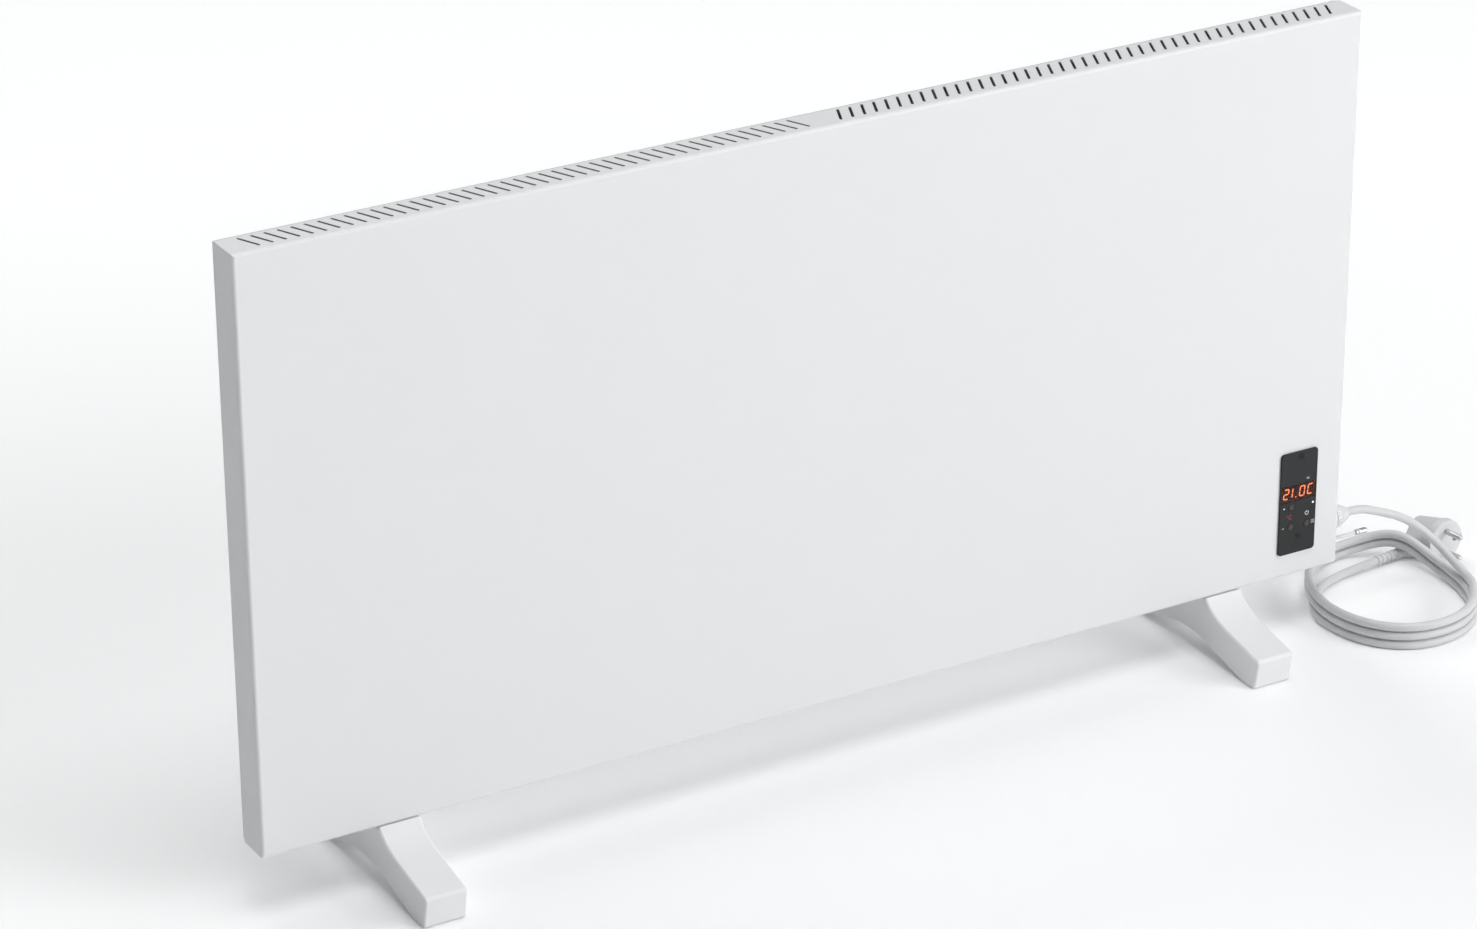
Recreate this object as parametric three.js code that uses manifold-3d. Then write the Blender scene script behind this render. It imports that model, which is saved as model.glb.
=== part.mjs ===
// Wall panel convector heater: a flat steel panel on two moulded feet, with a small control plate,
// a room temperature probe, and a mains lead that lies in a loose coil beside it and ends in an
// angled two-pin plug.
//
// Millimetres, +Z up, +X to the right along the panel, +Y from the front of the panel to its back.
// The feet stand on z = 0. The lead and the plug don't count in the middle of the origin.

import * as THREE from 'three';
import { ConvexGeometry } from 'three/addons/geometries/ConvexGeometry.js';
import { mergeVertices } from 'three/addons/utils/BufferGeometryUtils.js';
import Module from 'manifold-3d';

const wasm = await Module();
wasm.setup();

// ---------------------------------------------------------------------------------------------
// Driving dimensions
// ---------------------------------------------------------------------------------------------

const fit = 0.3;                    // gap between pieces that touch

// Panel: a folded sheet tray, closed behind by a flat cover
const panelWidth = 1000;
const panelHeight = 492;
const panelDepth = 35;
const floorClearance = 54;          // floor to the panel's lower edge
const sheet = 1;
const bendRadius = 3;
const rearFlange = 12;              // width of the tray's folded-in rear edge

// Outlet slots in the top: two mirrored rows that lean away from the middle
const outletsPerSide = 44;
const outletFirstX = 18.4;          // middle of the slot nearest to the panel's middle
const outletPitch = 10.7;
const outletLength = 22;
const outletWidth = 2.4;
const outletLean = THREE.MathUtils.degToRad(23.8);
const outletRowSetback = 18;        // panel's face to the middle of the row

// Inlet slots in the bottom
const inletCount = 20;
const inletPitch = 34;
const inletLength = 22;
const inletWidth = 8;

// Feet
const footLength = 202;
const footReach = 76;               // how far a foot stands out in front of the panel's face
const footWidth = 37;
const footSpacing = 768;            // between the middles of the feet
const footToeHeight = 28.5;
const footInstepHeight = 36.8;      // where the swept top meets the sloping toe
const footSweep = 32;               // length of the swept part of the top
const footSweepPull = 9;            // where the sweep's curve is drawn to: out from the panel
const footSweepRise = 4.7;          // and above the instep
const footPadInner = 83;            // the flat pads start at this distance from the middle
const footArchHeight = 16.3;
const footArchCrown = 27;           // the arch's curve leaves its crown level as far as this
const footArchFlank = 52;           // and comes down to the pads from here
const footArchEase = 4.5;
const footToeLean = 3.5;            // the toe leans back by this much from top to pad
const footEdge = 2.6;               // fillet along the foot's long edges
const footCorner = 4.5;             // rounding of the toe's and heel's corners
const footScrewSpread = 20;
const footScrewBore = 9;
const footScrewSeat = 34;           // height of the shoulder under the screw's head

// Screws
const screwHead = 7;
const screwHeadHeight = 1.8;
const screwShank = 3.5;
const footScrewShank = 4;
const rearScrewLength = 8;
const rearScrewInset = 6.5;         // from the panel's edges

// Wall keyholes in the rear cover
const keyholeSpacing = 600;
const keyholeDrop = 70;             // below the panel's upper edge
const keyholeEntry = 10;
const keyholeSlot = 5;
const keyholeRise = 12;

// Control plate, on the lower right of the face
const plateWidth = 37;
const plateHeight = 93;
const plateRight = 25.6;            // panel's right edge to the plate
const plateBottom = 21.1;           // panel's lower edge to the plate
const plateThickness = 1.5;
const plateCorner = 3;
const plateScrewX = 1;
const plateScrewTopZ = 41.8;
const plateScrewLowZ = -30.9;
const plateScrewHead = 5;
const plateScrewSink = 0.9;
const plateScrewShank = 2.4;
const plateScrewLength = 5;
const plateLand = 1.4;              // width of plate that rests on the panel beside the cut-out
const cutoutTopZ = 22;
const cutoutLowZ = -27;
const windowWidth = 35;
const windowHeight = 15;
const windowZ = 9.15;
const windowThickness = 0.8;
const windowSink = 0.2;             // the pane lies this far below the plate's face
const moduleWidth = 32;
const lampX = 15.3;
const lampZ = -3.5;
const lampDiameter = 1.8;

// Buttons
const buttonDiameter = 5.8;
const buttonProud = 0.5;            // also how far a button travels
const buttonRim = 8.2;
const buttonRimThickness = 1;
const buttonChamfer = 0.4;
const buttonStem = 3.2;
const pressSlack = 0.1;             // left between a pressed button and its switch
const buttonPlaces = { plus: [-6.7, -3.3], minus: [-6.7, -21.5], power: [9.7, -21.5] };

// Control board and what it carries
const boardWidth = 40;
const boardHeight = 80;
const boardThickness = 1.6;
const boardSetback = 9;             // panel's face to the board
const boardBottomZ = -41;
const switchSize = 6;
const switchHeight = 4;
const plungerDiameter = 3.4;
const plungerHeight = 1;
const standoffDiameter = 5;
const standoffX = -14;
const standoffZ = 31;
const supplySize = [24, 15, 30];

// Heating element and its carriers
const elementLeftSpace = 50;        // panel's left edge to the fins
const elementRightSpace = 130;      // panel's right edge to the fins
const elementZ = 110;               // above the panel's lower edge
const elementSetback = 15.5;        // behind the panel's face
const elementCore = 14;
const finThickness = 2;
const finReach = 34;
const finSpread = THREE.MathUtils.degToRad(20.5);
const rodDiameter = 8;
const rodOverhang = 22;
const insulatorDiameter = 16;
const insulatorLength = 12;
const bracketSheet = 1.5;
const bracketFoot = 15;
const bracketHeight = 28;
const bracketMargin = 3;            // metal beyond the insulator
const reflectorSheet = 0.8;
const reflectorInset = 10;          // each end of the fins to the end of the reflector
const reflectorBottom = 66;         // above the panel's lower edge
const reflectorHeight = 110;
const reflectorStandoff = 3.4;      // depth of its folded edges
const cutoutDiscDiameter = 14;
const cutoutDiscHeight = 8;
const cutoutDiscStep = 2;
const cutoutDiscInset = 30;         // reflector's right end to the disc's middle
const cutoutDiscDrop = 14;          // reflector's upper edge to the disc's middle

// Terminal block and earth screw
const terminalSize = [36, 12, 14];
const terminalRight = 28;           // panel's right edge to the block
const portInset = 5;                // block's right end to the port beside it
const portSpacing = 7;
const earthRight = 22;
const earthZ = 52;
const earthReach = 9;
const wireDiameter = 2;

// Cable gland, on the right wall
const glandZ = 34.4;                // above the panel's lower edge
const glandSetback = 17.5;          // behind the panel's face
const glandDiameter = 23;
const glandFlange = 6;
const glandThread = 15.6;
const glandInside = 9;              // length of thread inside the wall
const cordInside = 15;              // length of sheathed lead inside the wall
const glandNutDiameter = 22;
const glandNutThickness = 5;
const glandCapLength = 5.7;
const glandConeLength = 9;
const glandMouth = 10.2;

// Room temperature probe, below the gland
const probeZ = 12.7;
const probeStem = 3.3;
const probeStemReach = 32;          // beyond the right wall
const probeStemInside = 9;
const probeTip = 5.3;
const probeReach = 44;
const bushFlange = 8;
const bushFlangeThickness = 2;
const bushNeck = 5.6;

// Mains lead
const cordDiameter = 7.4;
const cordStep = 15;                // length of one step of the tube
const layer = 8.2;                  // from one turn of the coil up to the next
const lowestTurn = 4;               // height of the middle of the lowest turn
const coilMiddle = [559.5, -19.3];
const coilHalfWidth = 69.5;
const coilHalfLength = 91.2;
const coilTurned = -0.4;            // radians
const coilFrom = 25;                // degrees, clockwise seen from above
const coilTo = 865;
const coilStepsPerTurn = 24;
const coilSides = 6;
const dents = [                     // places where the turns are pushed in: angle, depth, spread
  [325, 5.2, 38],
  [205, 5.0, 35],
  [35, -3.5, 30],
];
const drops = [195, 555];           // angles where the coil starts to drop to the next turn
const dropSpread = 60;
const humpAngle = 296;              // where the turns pass over the strain relief
const humpHeight = 11;
const humpSpread = 26;

// Strain relief and plug
const reliefStart = [593, 39.2];
const reliefTurned = THREE.MathUtils.degToRad(6);
const reliefLength = 31;
const reliefThin = 8.8;
const reliefThick = 10.2;
const reliefHeight = 5.4;           // height of its middle
const reliefRibs = 6;
const reliefGroove = 0.9;
const plugDiameter = 38;
const plugRim = 9;
const plugFace = 28;                // strain relief's middle to the face
const plugAlong = 24;               // end of the strain relief to the middle of the face
const plugBack = 8;
const plugBackRadius = 10.9;        // of the body's round back
const pinDiameter = 4.8;
const pinLength = 19;
const pinSpacing = 19;
const pinRoot = 6;
const clipWidth = 5.4;
const clipThickness = 1.3;
const clipLength = 7.4;

// ---------------------------------------------------------------------------------------------
// Places that follow from them
// ---------------------------------------------------------------------------------------------

const halfWidth = panelWidth / 2;
const frontY = footReach - footLength / 2;
const backY = frontY + panelDepth;
const bottomZ = floorClearance;
const topZ = bottomZ + panelHeight;
const coverFrontY = backY - sheet;
const caseBackY = coverFrontY - fit;
const innerFrontY = frontY + sheet;
const plateX = halfWidth - plateRight - plateWidth / 2;
const plateZ = bottomZ + plateBottom + plateHeight / 2;
const plateBackY = frontY - fit;
const plateFrontY = plateBackY - plateThickness;
const boardY = frontY + boardSetback;
const elementY = frontY + elementSetback;
const elementLength = panelWidth - elementLeftSpace - elementRightSpace;
const elementX = (elementLeftSpace - elementRightSpace) / 2;
const reflectorLength = elementLength - 2 * reflectorInset;
const cutoutDiscX = elementX + reflectorLength / 2 - cutoutDiscInset;
const cutoutDiscZ = reflectorBottom + reflectorHeight - cutoutDiscDrop;
const glandY = frontY + glandSetback;
const plugTop = plugDiameter + fit;

// ---------------------------------------------------------------------------------------------
// Materials
// ---------------------------------------------------------------------------------------------

function material(color, roughness, metalness = 0) {
  return new THREE.MeshStandardMaterial({ color, roughness, metalness });
}

const whitePaint = material(0xe8eaec, 0.45);
const greyCord = material(0xc9cbcc, 0.6);
const paleGrey = material(0xb9bcbe, 0.55);
const footPlastic = material(0xe2e4e5, 0.5);
const darkPlastic = material(0x383a3a, 0.45);
const redWindow = material(0x3a1210, 0.15);
const circuitGreen = material(0x1d5a36, 0.5);
const blackPlastic = material(0x1c1c1e, 0.5);
const lampWhite = material(0xf2f2ee, 0.3);
const zinc = material(0xb4b8bb, 0.35, 0.9);
const bareSteel = material(0x9a9da0, 0.35, 1);
const aluminium = material(0xc6c9cb, 0.4, 1);
const ceramic = material(0xe9e3d5, 0.7);
const brass = material(0xc9b27a, 0.3, 1);
const brownWire = material(0x6b3b1e, 0.6);
const blueWire = material(0x2456a6, 0.6);
const earthWire = material(0x6f9a2c, 0.6);
const whiteWire = material(0xe6e2d6, 0.6);

// ---------------------------------------------------------------------------------------------
// Shapes
// ---------------------------------------------------------------------------------------------

function box([x0, x1], [y0, y1], [z0, z1]) {
  const geometry = new THREE.BoxGeometry(x1 - x0, y1 - y0, z1 - z0);
  return geometry.translate((x0 + x1) / 2, (y0 + y1) / 2, (z0 + z1) / 2);
}

// A solid of revolution about Z: the profile is a list of [radius, height]
function turned(profile, sides = 16) {
  const points = profile.map(([radius, height]) => new THREE.Vector2(radius, height));
  return new THREE.LatheGeometry(points, sides).rotateX(Math.PI / 2);
}

// A turned piece with a bore: its profile closes on itself
function bored(profile, bore, sides = 16) {
  const [first, last] = [profile[0][1], profile[profile.length - 1][1]];
  return turned([[bore / 2, first], ...profile, [bore / 2, last], [bore / 2, first]], sides);
}

// A turned piece without a bore: its profile starts and ends on the axis
function solid(profile, sides = 16) {
  const [first, last] = [profile[0][1], profile[profile.length - 1][1]];
  return turned([[0, first], ...profile, [0, last]], sides);
}

function cylinder(diameter, from, to, sides = 16) {
  return solid([[diameter / 2, from], [diameter / 2, to]], sides);
}

// Lays a piece that was made along +Z along +X or +Y
function alongX(geometry) {
  return geometry.rotateY(Math.PI / 2);
}

function alongY(geometry) {
  return geometry.rotateX(-Math.PI / 2);
}

// An outline in the plane that looks along X, extruded from x0 to x1: shape x is Y, shape y is Z
function extrudeX(shape, x0, x1, options = {}) {
  const settings = { depth: x1 - x0, bevelEnabled: false, ...options };
  const geometry = new THREE.ExtrudeGeometry(shape, settings);
  return geometry.rotateX(Math.PI / 2).rotateZ(Math.PI / 2).translate(x0, 0, 0);
}

// An outline in the panel's plane, extruded from y0 back to y1: shape x is X, shape y is Z
function extrudeY(shape, y0, y1) {
  const geometry = new THREE.ExtrudeGeometry(shape, { depth: y1 - y0, bevelEnabled: false });
  return geometry.rotateX(Math.PI / 2).translate(0, y1, 0);
}

function extrudeZ(shape, z0, z1) {
  const geometry = new THREE.ExtrudeGeometry(shape, { depth: z1 - z0, bevelEnabled: false });
  return geometry.translate(0, 0, z0);
}

const origin = new THREE.Vector2();

function circlePath(x, y, diameter, sides = 12) {
  const middle = new THREE.Vector2(x, y);
  const points = [];
  for (let i = 0; i < sides; i += 1) {
    const angle = (2 * Math.PI * i) / sides;
    points.push(new THREE.Vector2(diameter / 2, 0).rotateAround(origin, angle).add(middle));
  }
  return points;
}

function roundedRectangle(x0, x1, y0, y1, radius, steps = 4) {
  const corners = [[x1, y1, 0], [x0, y1, 1], [x0, y0, 2], [x1, y0, 3]];
  const points = [];
  for (const [x, y, quarter] of corners) {
    const towardX = x === x1 ? -radius : radius;
    const towardY = y === y1 ? -radius : radius;
    for (let i = 0; i <= steps; i += 1) {
      const angle = (quarter + i / steps) * (Math.PI / 2);
      const middle = new THREE.Vector2(x + towardX, y + towardY);
      points.push(new THREE.Vector2(radius, 0).rotateAround(origin, angle).add(middle));
    }
  }
  return new THREE.Shape(points);
}

// A closed tube along a curve
function tube(points, diameter, sides, step) {
  const path = new THREE.CatmullRomCurve3(points.map((point) => new THREE.Vector3(...point)));
  path.curveType = 'centripetal';
  const section = new THREE.Shape(circlePath(0, 0, diameter, sides));
  const steps = Math.max(2, Math.round(path.getLength() / step));
  return new THREE.ExtrudeGeometry(section, { steps, extrudePath: path });
}

// ---------------------------------------------------------------------------------------------
// Cutting and joining
// ---------------------------------------------------------------------------------------------

function toManifold(geometry) {
  const bare = geometry.clone();
  bare.deleteAttribute('normal');
  bare.deleteAttribute('uv');
  const merged = mergeVertices(bare, 1e-4);
  return new wasm.Manifold(new wasm.Mesh({
    numProp: 3,
    vertProperties: new Float32Array(merged.attributes.position.array),
    triVerts: new Uint32Array(merged.index.array),
  }));
}

function toGeometry(manifold) {
  const mesh = manifold.getMesh();
  const geometry = new THREE.BufferGeometry();
  geometry.setAttribute('position', new THREE.BufferAttribute(new Float32Array(mesh.vertProperties), 3));
  geometry.setIndex(new THREE.BufferAttribute(new Uint32Array(mesh.triVerts), 1));
  geometry.computeVertexNormals();
  return geometry;
}

function join(geometry, ...others) {
  const joined = others.reduce((whole, other) => whole.add(toManifold(other)), toManifold(geometry));
  return toGeometry(joined);
}

function cut(geometry, ...tools) {
  const left = tools.reduce((whole, tool) => whole.subtract(toManifold(tool)), toManifold(geometry));
  return toGeometry(left);
}

function common(geometry, other) {
  return toGeometry(toManifold(geometry).intersect(toManifold(other)));
}

// ---------------------------------------------------------------------------------------------
// The assembly
// ---------------------------------------------------------------------------------------------

const heater = new THREE.Group();
heater.position.x = -probeReach / 2;

function add(name, geometry, finish, [x, y, z] = [0, 0, 0]) {
  const mesh = new THREE.Mesh(geometry, finish);
  mesh.name = name;
  mesh.position.set(x, y, z);
  heater.add(mesh);
  return mesh;
}

// ---- Front case: a tray with rounded folds, open behind apart from a narrow flange ----

// The panel's block, drawn in by `wall` on each side, with its front edges rounded
function roundedBlock(wall, endY) {
  const radius = bendRadius - wall;
  const face = frontY + wall;
  const right = halfWidth - wall;
  const [low, high] = [bottomZ + wall, topZ - wall];
  const side = new THREE.Shape();
  side.moveTo(endY, low);
  side.lineTo(face + radius, low);
  side.absarc(face + radius, low + radius, radius, -Math.PI / 2, Math.PI, true);
  side.lineTo(face, high - radius);
  side.absarc(face + radius, high - radius, radius, Math.PI, Math.PI / 2, true);
  side.lineTo(endY, high);
  const plan = new THREE.Shape();
  plan.moveTo(right, endY);
  plan.lineTo(right, face + radius);
  plan.absarc(right - radius, face + radius, radius, 0, -Math.PI / 2, true);
  plan.lineTo(-right + radius, face);
  plan.absarc(-right + radius, face + radius, radius, -Math.PI / 2, Math.PI, true);
  plan.lineTo(-right, endY);
  const segments = 4;
  const outline = (shape) => new THREE.Shape(shape.getPoints(segments));
  return common(extrudeX(outline(side), -right, right), extrudeZ(outline(plan), low, high));
}

// How far the tools that make holes in the sheet reach, to both sides of its face
const through = [-2 * sheet, 2 * sheet];

function outletSlots() {
  const slots = [];
  for (const side of [-1, 1]) {
    for (let i = 0; i < outletsPerSide; i += 1) {
      const slot = new THREE.BoxGeometry(outletWidth, outletLength, 4 * sheet);
      slot.rotateZ(-side * outletLean);
      slot.translate(side * (outletFirstX + i * outletPitch), frontY + outletRowSetback, topZ - sheet / 2);
      slots.push(slot);
    }
  }
  return slots;
}

function inletSlots() {
  const slots = [];
  for (let i = 0; i < inletCount; i += 1) {
    const slot = new THREE.BoxGeometry(inletLength, inletWidth, 4 * sheet);
    const x = (i - (inletCount - 1) / 2) * inletPitch;
    slots.push(slot.translate(x, frontY + outletRowSetback, bottomZ + sheet / 2));
  }
  return slots;
}

const rearScrewPlaces = [];
for (const x of [-1, 1]) {
  for (const z of [bottomZ + rearScrewInset, topZ - rearScrewInset]) {
    rearScrewPlaces.push([x * (halfWidth - rearScrewInset), z]);
  }
}

const footScrewPlaces = [];
for (const side of [-1, 1]) {
  for (const end of [-1, 1]) {
    footScrewPlaces.push([side * (footSpacing / 2 + (end * footScrewSpread) / 2), (frontY + backY) / 2]);
  }
}

const plateScrewPlaces = [plateScrewTopZ, plateScrewLowZ].map((z) => [plateX + plateScrewX, plateZ + z]);

function frontCase() {
  const shell = cut(roundedBlock(0, caseBackY), roundedBlock(sheet, caseBackY - sheet));
  const mouth = box(
    [-halfWidth + rearFlange, halfWidth - rearFlange],
    [caseBackY - 2 * sheet, caseBackY + sheet],
    [bottomZ + rearFlange, topZ - rearFlange],
  );
  const behindPlate = box(
    [plateX - plateWidth / 2 + plateLand, plateX + plateWidth / 2 - plateLand],
    [frontY - sheet, innerFrontY + sheet],
    [plateZ + cutoutLowZ, plateZ + cutoutTopZ],
  );
  const holes = rearScrewPlaces.map(([x, z]) => (
    alongY(cylinder(screwShank + 2 * fit, ...through, 8)).translate(x, caseBackY, z)));
  for (const [x, z] of plateScrewPlaces) {
    holes.push(alongY(cylinder(plateScrewShank + 2 * fit, ...through, 8)).translate(x, frontY, z));
  }
  for (const [x, y] of footScrewPlaces) {
    holes.push(cylinder(footScrewShank + 2 * fit, ...through, 8).translate(x, y, bottomZ));
  }
  const wallHole = (diameter, z) => (
    alongX(cylinder(diameter + 2 * fit, ...through)).translate(halfWidth, glandY, bottomZ + z));
  holes.push(wallHole(glandThread, glandZ), wallHole(bushNeck, probeZ));
  return cut(shell, mouth, behindPlate, ...outletSlots(), ...inletSlots(), ...holes);
}

add('front_case', frontCase(), whitePaint);

// ---- Rear cover: a flat sheet on the tray's flange, with two wall keyholes ----

function keyhole(x) {
  const z = topZ - keyholeDrop;
  const steps = 8;
  const hole = new THREE.Path();
  const [entry, slot] = [keyholeEntry / 2, keyholeSlot / 2];
  const meet = Math.asin(slot / entry);
  for (let i = 0; i <= steps; i += 1) {
    const angle = Math.PI / 2 + meet + ((2 * Math.PI - 2 * meet) * i) / steps;
    const point = [x + entry * Math.cos(angle), z + entry * Math.sin(angle)];
    if (i === 0) hole.moveTo(...point);
    else hole.lineTo(...point);
  }
  for (let i = 0; i <= steps / 2; i += 1) {
    const angle = (Math.PI * i) / (steps / 2);
    hole.lineTo(x + slot * Math.cos(angle), z + keyholeRise + slot * Math.sin(angle));
  }
  return hole;
}

function rearCover() {
  const edge = sheet;
  const shape = roundedRectangle(-halfWidth + edge, halfWidth - edge, bottomZ + edge, topZ - edge, edge);
  for (const [x, z] of rearScrewPlaces) {
    shape.holes.push(new THREE.Path(circlePath(x, z, screwShank + 2 * fit, 8)));
  }
  const earth = circlePath(halfWidth - earthRight, bottomZ + earthZ, footScrewShank + 2 * fit, 8);
  shape.holes.push(new THREE.Path(earth), keyhole(-keyholeSpacing / 2), keyhole(keyholeSpacing / 2));
  return extrudeY(shape, coverFrontY, backY);
}

add('rear_cover', rearCover(), whitePaint);

// A pan-head screw along +Z: the head's underside is at 0 and the shank goes down
function panScrew(shank, length) {
  return solid([
    [shank / 2, -length],
    [shank / 2, 0],
    [screwHead / 2, 0],
    [screwHead / 2, screwHeadHeight * 0.6],
    [screwHead / 3, screwHeadHeight],
  ], 10);
}

rearScrewPlaces.forEach(([x, z], i) => {
  add(`rear_screw_${i + 1}`, alongY(panScrew(screwShank, rearScrewLength)), zinc, [x, backY + fit, z]);
});

// ---- Heating element: an aluminium X with a steel rod in its bore ----

function heatingElement() {
  const core = cylinder(elementCore, -elementLength / 2, elementLength / 2, 12);
  const fin = (lean) => {
    const plate = new THREE.BoxGeometry(2 * finReach, finThickness, elementLength);
    return plate.rotateZ(lean);
  };
  const body = join(core, fin(finSpread), fin(-finSpread));
  return cut(body, cylinder(rodDiameter + 2 * fit, -elementLength, elementLength, 12));
}

const elementPlace = [elementX, elementY, bottomZ + elementZ];
add('heating_element', alongX(heatingElement()), aluminium, elementPlace);
const rodHalf = elementLength / 2 + rodOverhang;
add('element_rod', alongX(cylinder(rodDiameter, -rodHalf, rodHalf, 12)), bareSteel, elementPlace);

const insulatorMiddle = elementLength / 2 + fit + insulatorLength / 2;
function insulator() {
  const [radius, half] = [insulatorDiameter / 2, insulatorLength / 2];
  return bored([[radius, -half], [radius, half]], rodDiameter + 2 * fit, 12);
}

// An upright plate round the insulator, with a foot that lies on the rear cover
function bracket(side) {
  const halfSheet = bracketSheet / 2;
  const z = [-bracketHeight / 2, bracketHeight / 2];
  const seatY = coverFrontY - fit - elementY;
  const plate = box([-halfSheet, halfSheet], [-insulatorDiameter / 2 - bracketMargin, seatY], z);
  const footX = side > 0 ? [0, bracketFoot] : [-bracketFoot, 0];
  const foot = box(footX, [seatY - bracketSheet, seatY], z);
  const hole = alongX(cylinder(insulatorDiameter + 2 * fit, -bracketSheet, bracketSheet, 12));
  return cut(join(plate, foot), hole);
}

for (const [name, side] of [['left', -1], ['right', 1]]) {
  const place = [elementX + side * insulatorMiddle, elementY, bottomZ + elementZ];
  add(`element_insulator_${name}`, alongX(insulator()), ceramic, place);
  add(`element_bracket_${name}`, bracket(side), zinc, place);
}

// ---- Reflector: a sheet that stands off the rear cover on its folded edges ----

function reflector() {
  const seat = coverFrontY - fit;
  const face = seat - reflectorStandoff;
  const [low, high] = [bottomZ + reflectorBottom, bottomZ + reflectorBottom + reflectorHeight];
  const shape = new THREE.Shape();
  shape.moveTo(face, low);
  shape.lineTo(seat, low);
  shape.lineTo(seat, low + reflectorSheet);
  shape.lineTo(face + reflectorSheet, low + reflectorSheet);
  shape.lineTo(face + reflectorSheet, high - reflectorSheet);
  shape.lineTo(seat, high - reflectorSheet);
  shape.lineTo(seat, high);
  shape.lineTo(face, high);
  return extrudeX(shape, elementX - reflectorLength / 2, elementX + reflectorLength / 2);
}

const reflectorFaceY = coverFrontY - fit - reflectorStandoff;
add('reflector_sheet', reflector(), aluminium);

const cutoutDisc = solid([
  [cutoutDiscDiameter / 2 - cutoutDiscStep, -cutoutDiscHeight],
  [cutoutDiscDiameter / 2 - cutoutDiscStep, -cutoutDiscHeight / 2],
  [cutoutDiscDiameter / 2, -cutoutDiscHeight / 2],
  [cutoutDiscDiameter / 2, 0],
], 14);
const cutoutPlace = [cutoutDiscX, reflectorFaceY - fit, bottomZ + cutoutDiscZ];
add('thermal_cutout', alongY(cutoutDisc), blackPlastic, cutoutPlace);

// ---- Control plate with its window, buttons, lamp and screws ----

function controlPlate() {
  const [halfW, halfH] = [plateWidth / 2, plateHeight / 2];
  const shape = roundedRectangle(-halfW, halfW, -halfH, halfH, plateCorner);
  const [w, h] = [windowWidth / 2, windowHeight / 2];
  shape.holes.push(roundedRectangle(-w, w, windowZ - h, windowZ + h, 0.5, 1));
  for (const [x, z] of Object.values(buttonPlaces)) {
    shape.holes.push(new THREE.Path(circlePath(x, z, buttonDiameter + 2 * fit)));
  }
  shape.holes.push(new THREE.Path(circlePath(lampX, lampZ, lampDiameter + 2 * fit, 8)));
  const tools = [];
  for (const z of [plateScrewTopZ, plateScrewLowZ]) {
    const sink = cylinder(plateScrewHead + 2 * fit, 0, 2 * plateScrewSink, 14);
    const bore = cylinder(plateScrewShank + 2 * fit, -2 * plateThickness, plateThickness, 8);
    tools.push(alongY(sink).translate(plateScrewX, -plateScrewSink, z));
    tools.push(alongY(bore).translate(plateScrewX, 0, z));
  }
  return cut(extrudeY(shape, 0, plateThickness), ...tools);
}

add('control_plate', controlPlate(), darkPlastic, [plateX, plateFrontY, plateZ]);

plateScrewPlaces.forEach(([x, z], i) => {
  const headHeight = plateScrewSink - fit;
  const screw = solid([
    [plateScrewShank / 2, -plateScrewLength],
    [plateScrewShank / 2, -headHeight],
    [plateScrewHead / 2, -headHeight],
    [plateScrewHead / 2, 0],
  ], 12);
  add(`plate_screw_${i + 1}`, alongY(screw).rotateZ(Math.PI), zinc, [x, plateFrontY, z]);
});

function paneShape(width, height) {
  return roundedRectangle(-width / 2, width / 2, -height / 2, height / 2, 0.4, 1);
}

const paneY = plateFrontY + windowSink;
const pane = extrudeY(paneShape(windowWidth - 2 * fit, windowHeight - 2 * fit), 0, windowThickness);
add('display_window', pane, redWindow, [plateX, paneY, plateZ + windowZ]);

const moduleFrontY = paneY + windowThickness + fit;
const displayModule = box(
  [-moduleWidth / 2, moduleWidth / 2],
  [moduleFrontY, boardY - fit],
  [-windowHeight / 2 + fit, windowHeight / 2 - fit],
);
add('display_module', displayModule, blackPlastic, [plateX, 0, plateZ + windowZ]);

const lamp = cylinder(lampDiameter, 0, boardY - fit - plateFrontY, 10);
add('indicator_lamp', alongY(lamp), lampWhite, [plateX + lampX, plateFrontY, plateZ + lampZ]);

// Each button is a cap with a rim behind the plate that keeps it in, and a stem to its switch
const switchTopY = boardY - fit - switchHeight - plungerHeight;
const buttonEndY = switchTopY - buttonProud - pressSlack;
function button() {
  const capY = plateFrontY - buttonProud;
  const rimY = plateBackY + fit - capY;
  return alongY(solid([
    [buttonDiameter / 2 - buttonChamfer, 0],
    [buttonDiameter / 2, buttonChamfer],
    [buttonDiameter / 2, rimY],
    [buttonRim / 2, rimY],
    [buttonRim / 2, rimY + buttonRimThickness],
    [buttonStem / 2, rimY + buttonRimThickness],
    [buttonStem / 2, buttonEndY - capY],
  ]));
}

function tactSwitch() {
  const half = switchSize / 2;
  const body = box([-half, half], [-switchHeight, 0], [-half, half]);
  const plunger = alongY(cylinder(plungerDiameter, -switchHeight - plungerHeight, -1, 10));
  return join(body, plunger);
}

for (const [name, [x, z]] of Object.entries(buttonPlaces)) {
  add(`button_${name}`, button(), darkPlastic, [plateX + x, plateFrontY - buttonProud, plateZ + z]);
  add(`switch_${name}`, tactSwitch(), blackPlastic, [plateX + x, boardY - fit, plateZ + z]);
}

// ---- Control board on two standoffs, with the supply behind it ----

const board = box(
  [-boardWidth / 2, boardWidth / 2],
  [0, boardThickness],
  [boardBottomZ, boardBottomZ + boardHeight],
);
add('control_board', board, circuitGreen, [plateX, boardY, plateZ]);

[-1, 1].forEach((side, i) => {
  const standoff = cylinder(standoffDiameter, innerFrontY + fit, boardY - fit, 8);
  const place = [plateX + side * standoffX, 0, plateZ + standoffZ];
  add(`board_standoff_${i + 1}`, alongY(standoff), brass, place);
});

const [supplyWidth, supplyDepth, supplyHeight] = supplySize;
const supplyY = boardY + boardThickness + fit;
const supply = box(
  [-supplyWidth / 2, supplyWidth / 2],
  [supplyY, supplyY + supplyDepth],
  [0, supplyHeight],
);
add('power_module', supply, blackPlastic, [plateX, 0, plateZ]);

// ---- Terminal block, earth screw and wires ----

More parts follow.
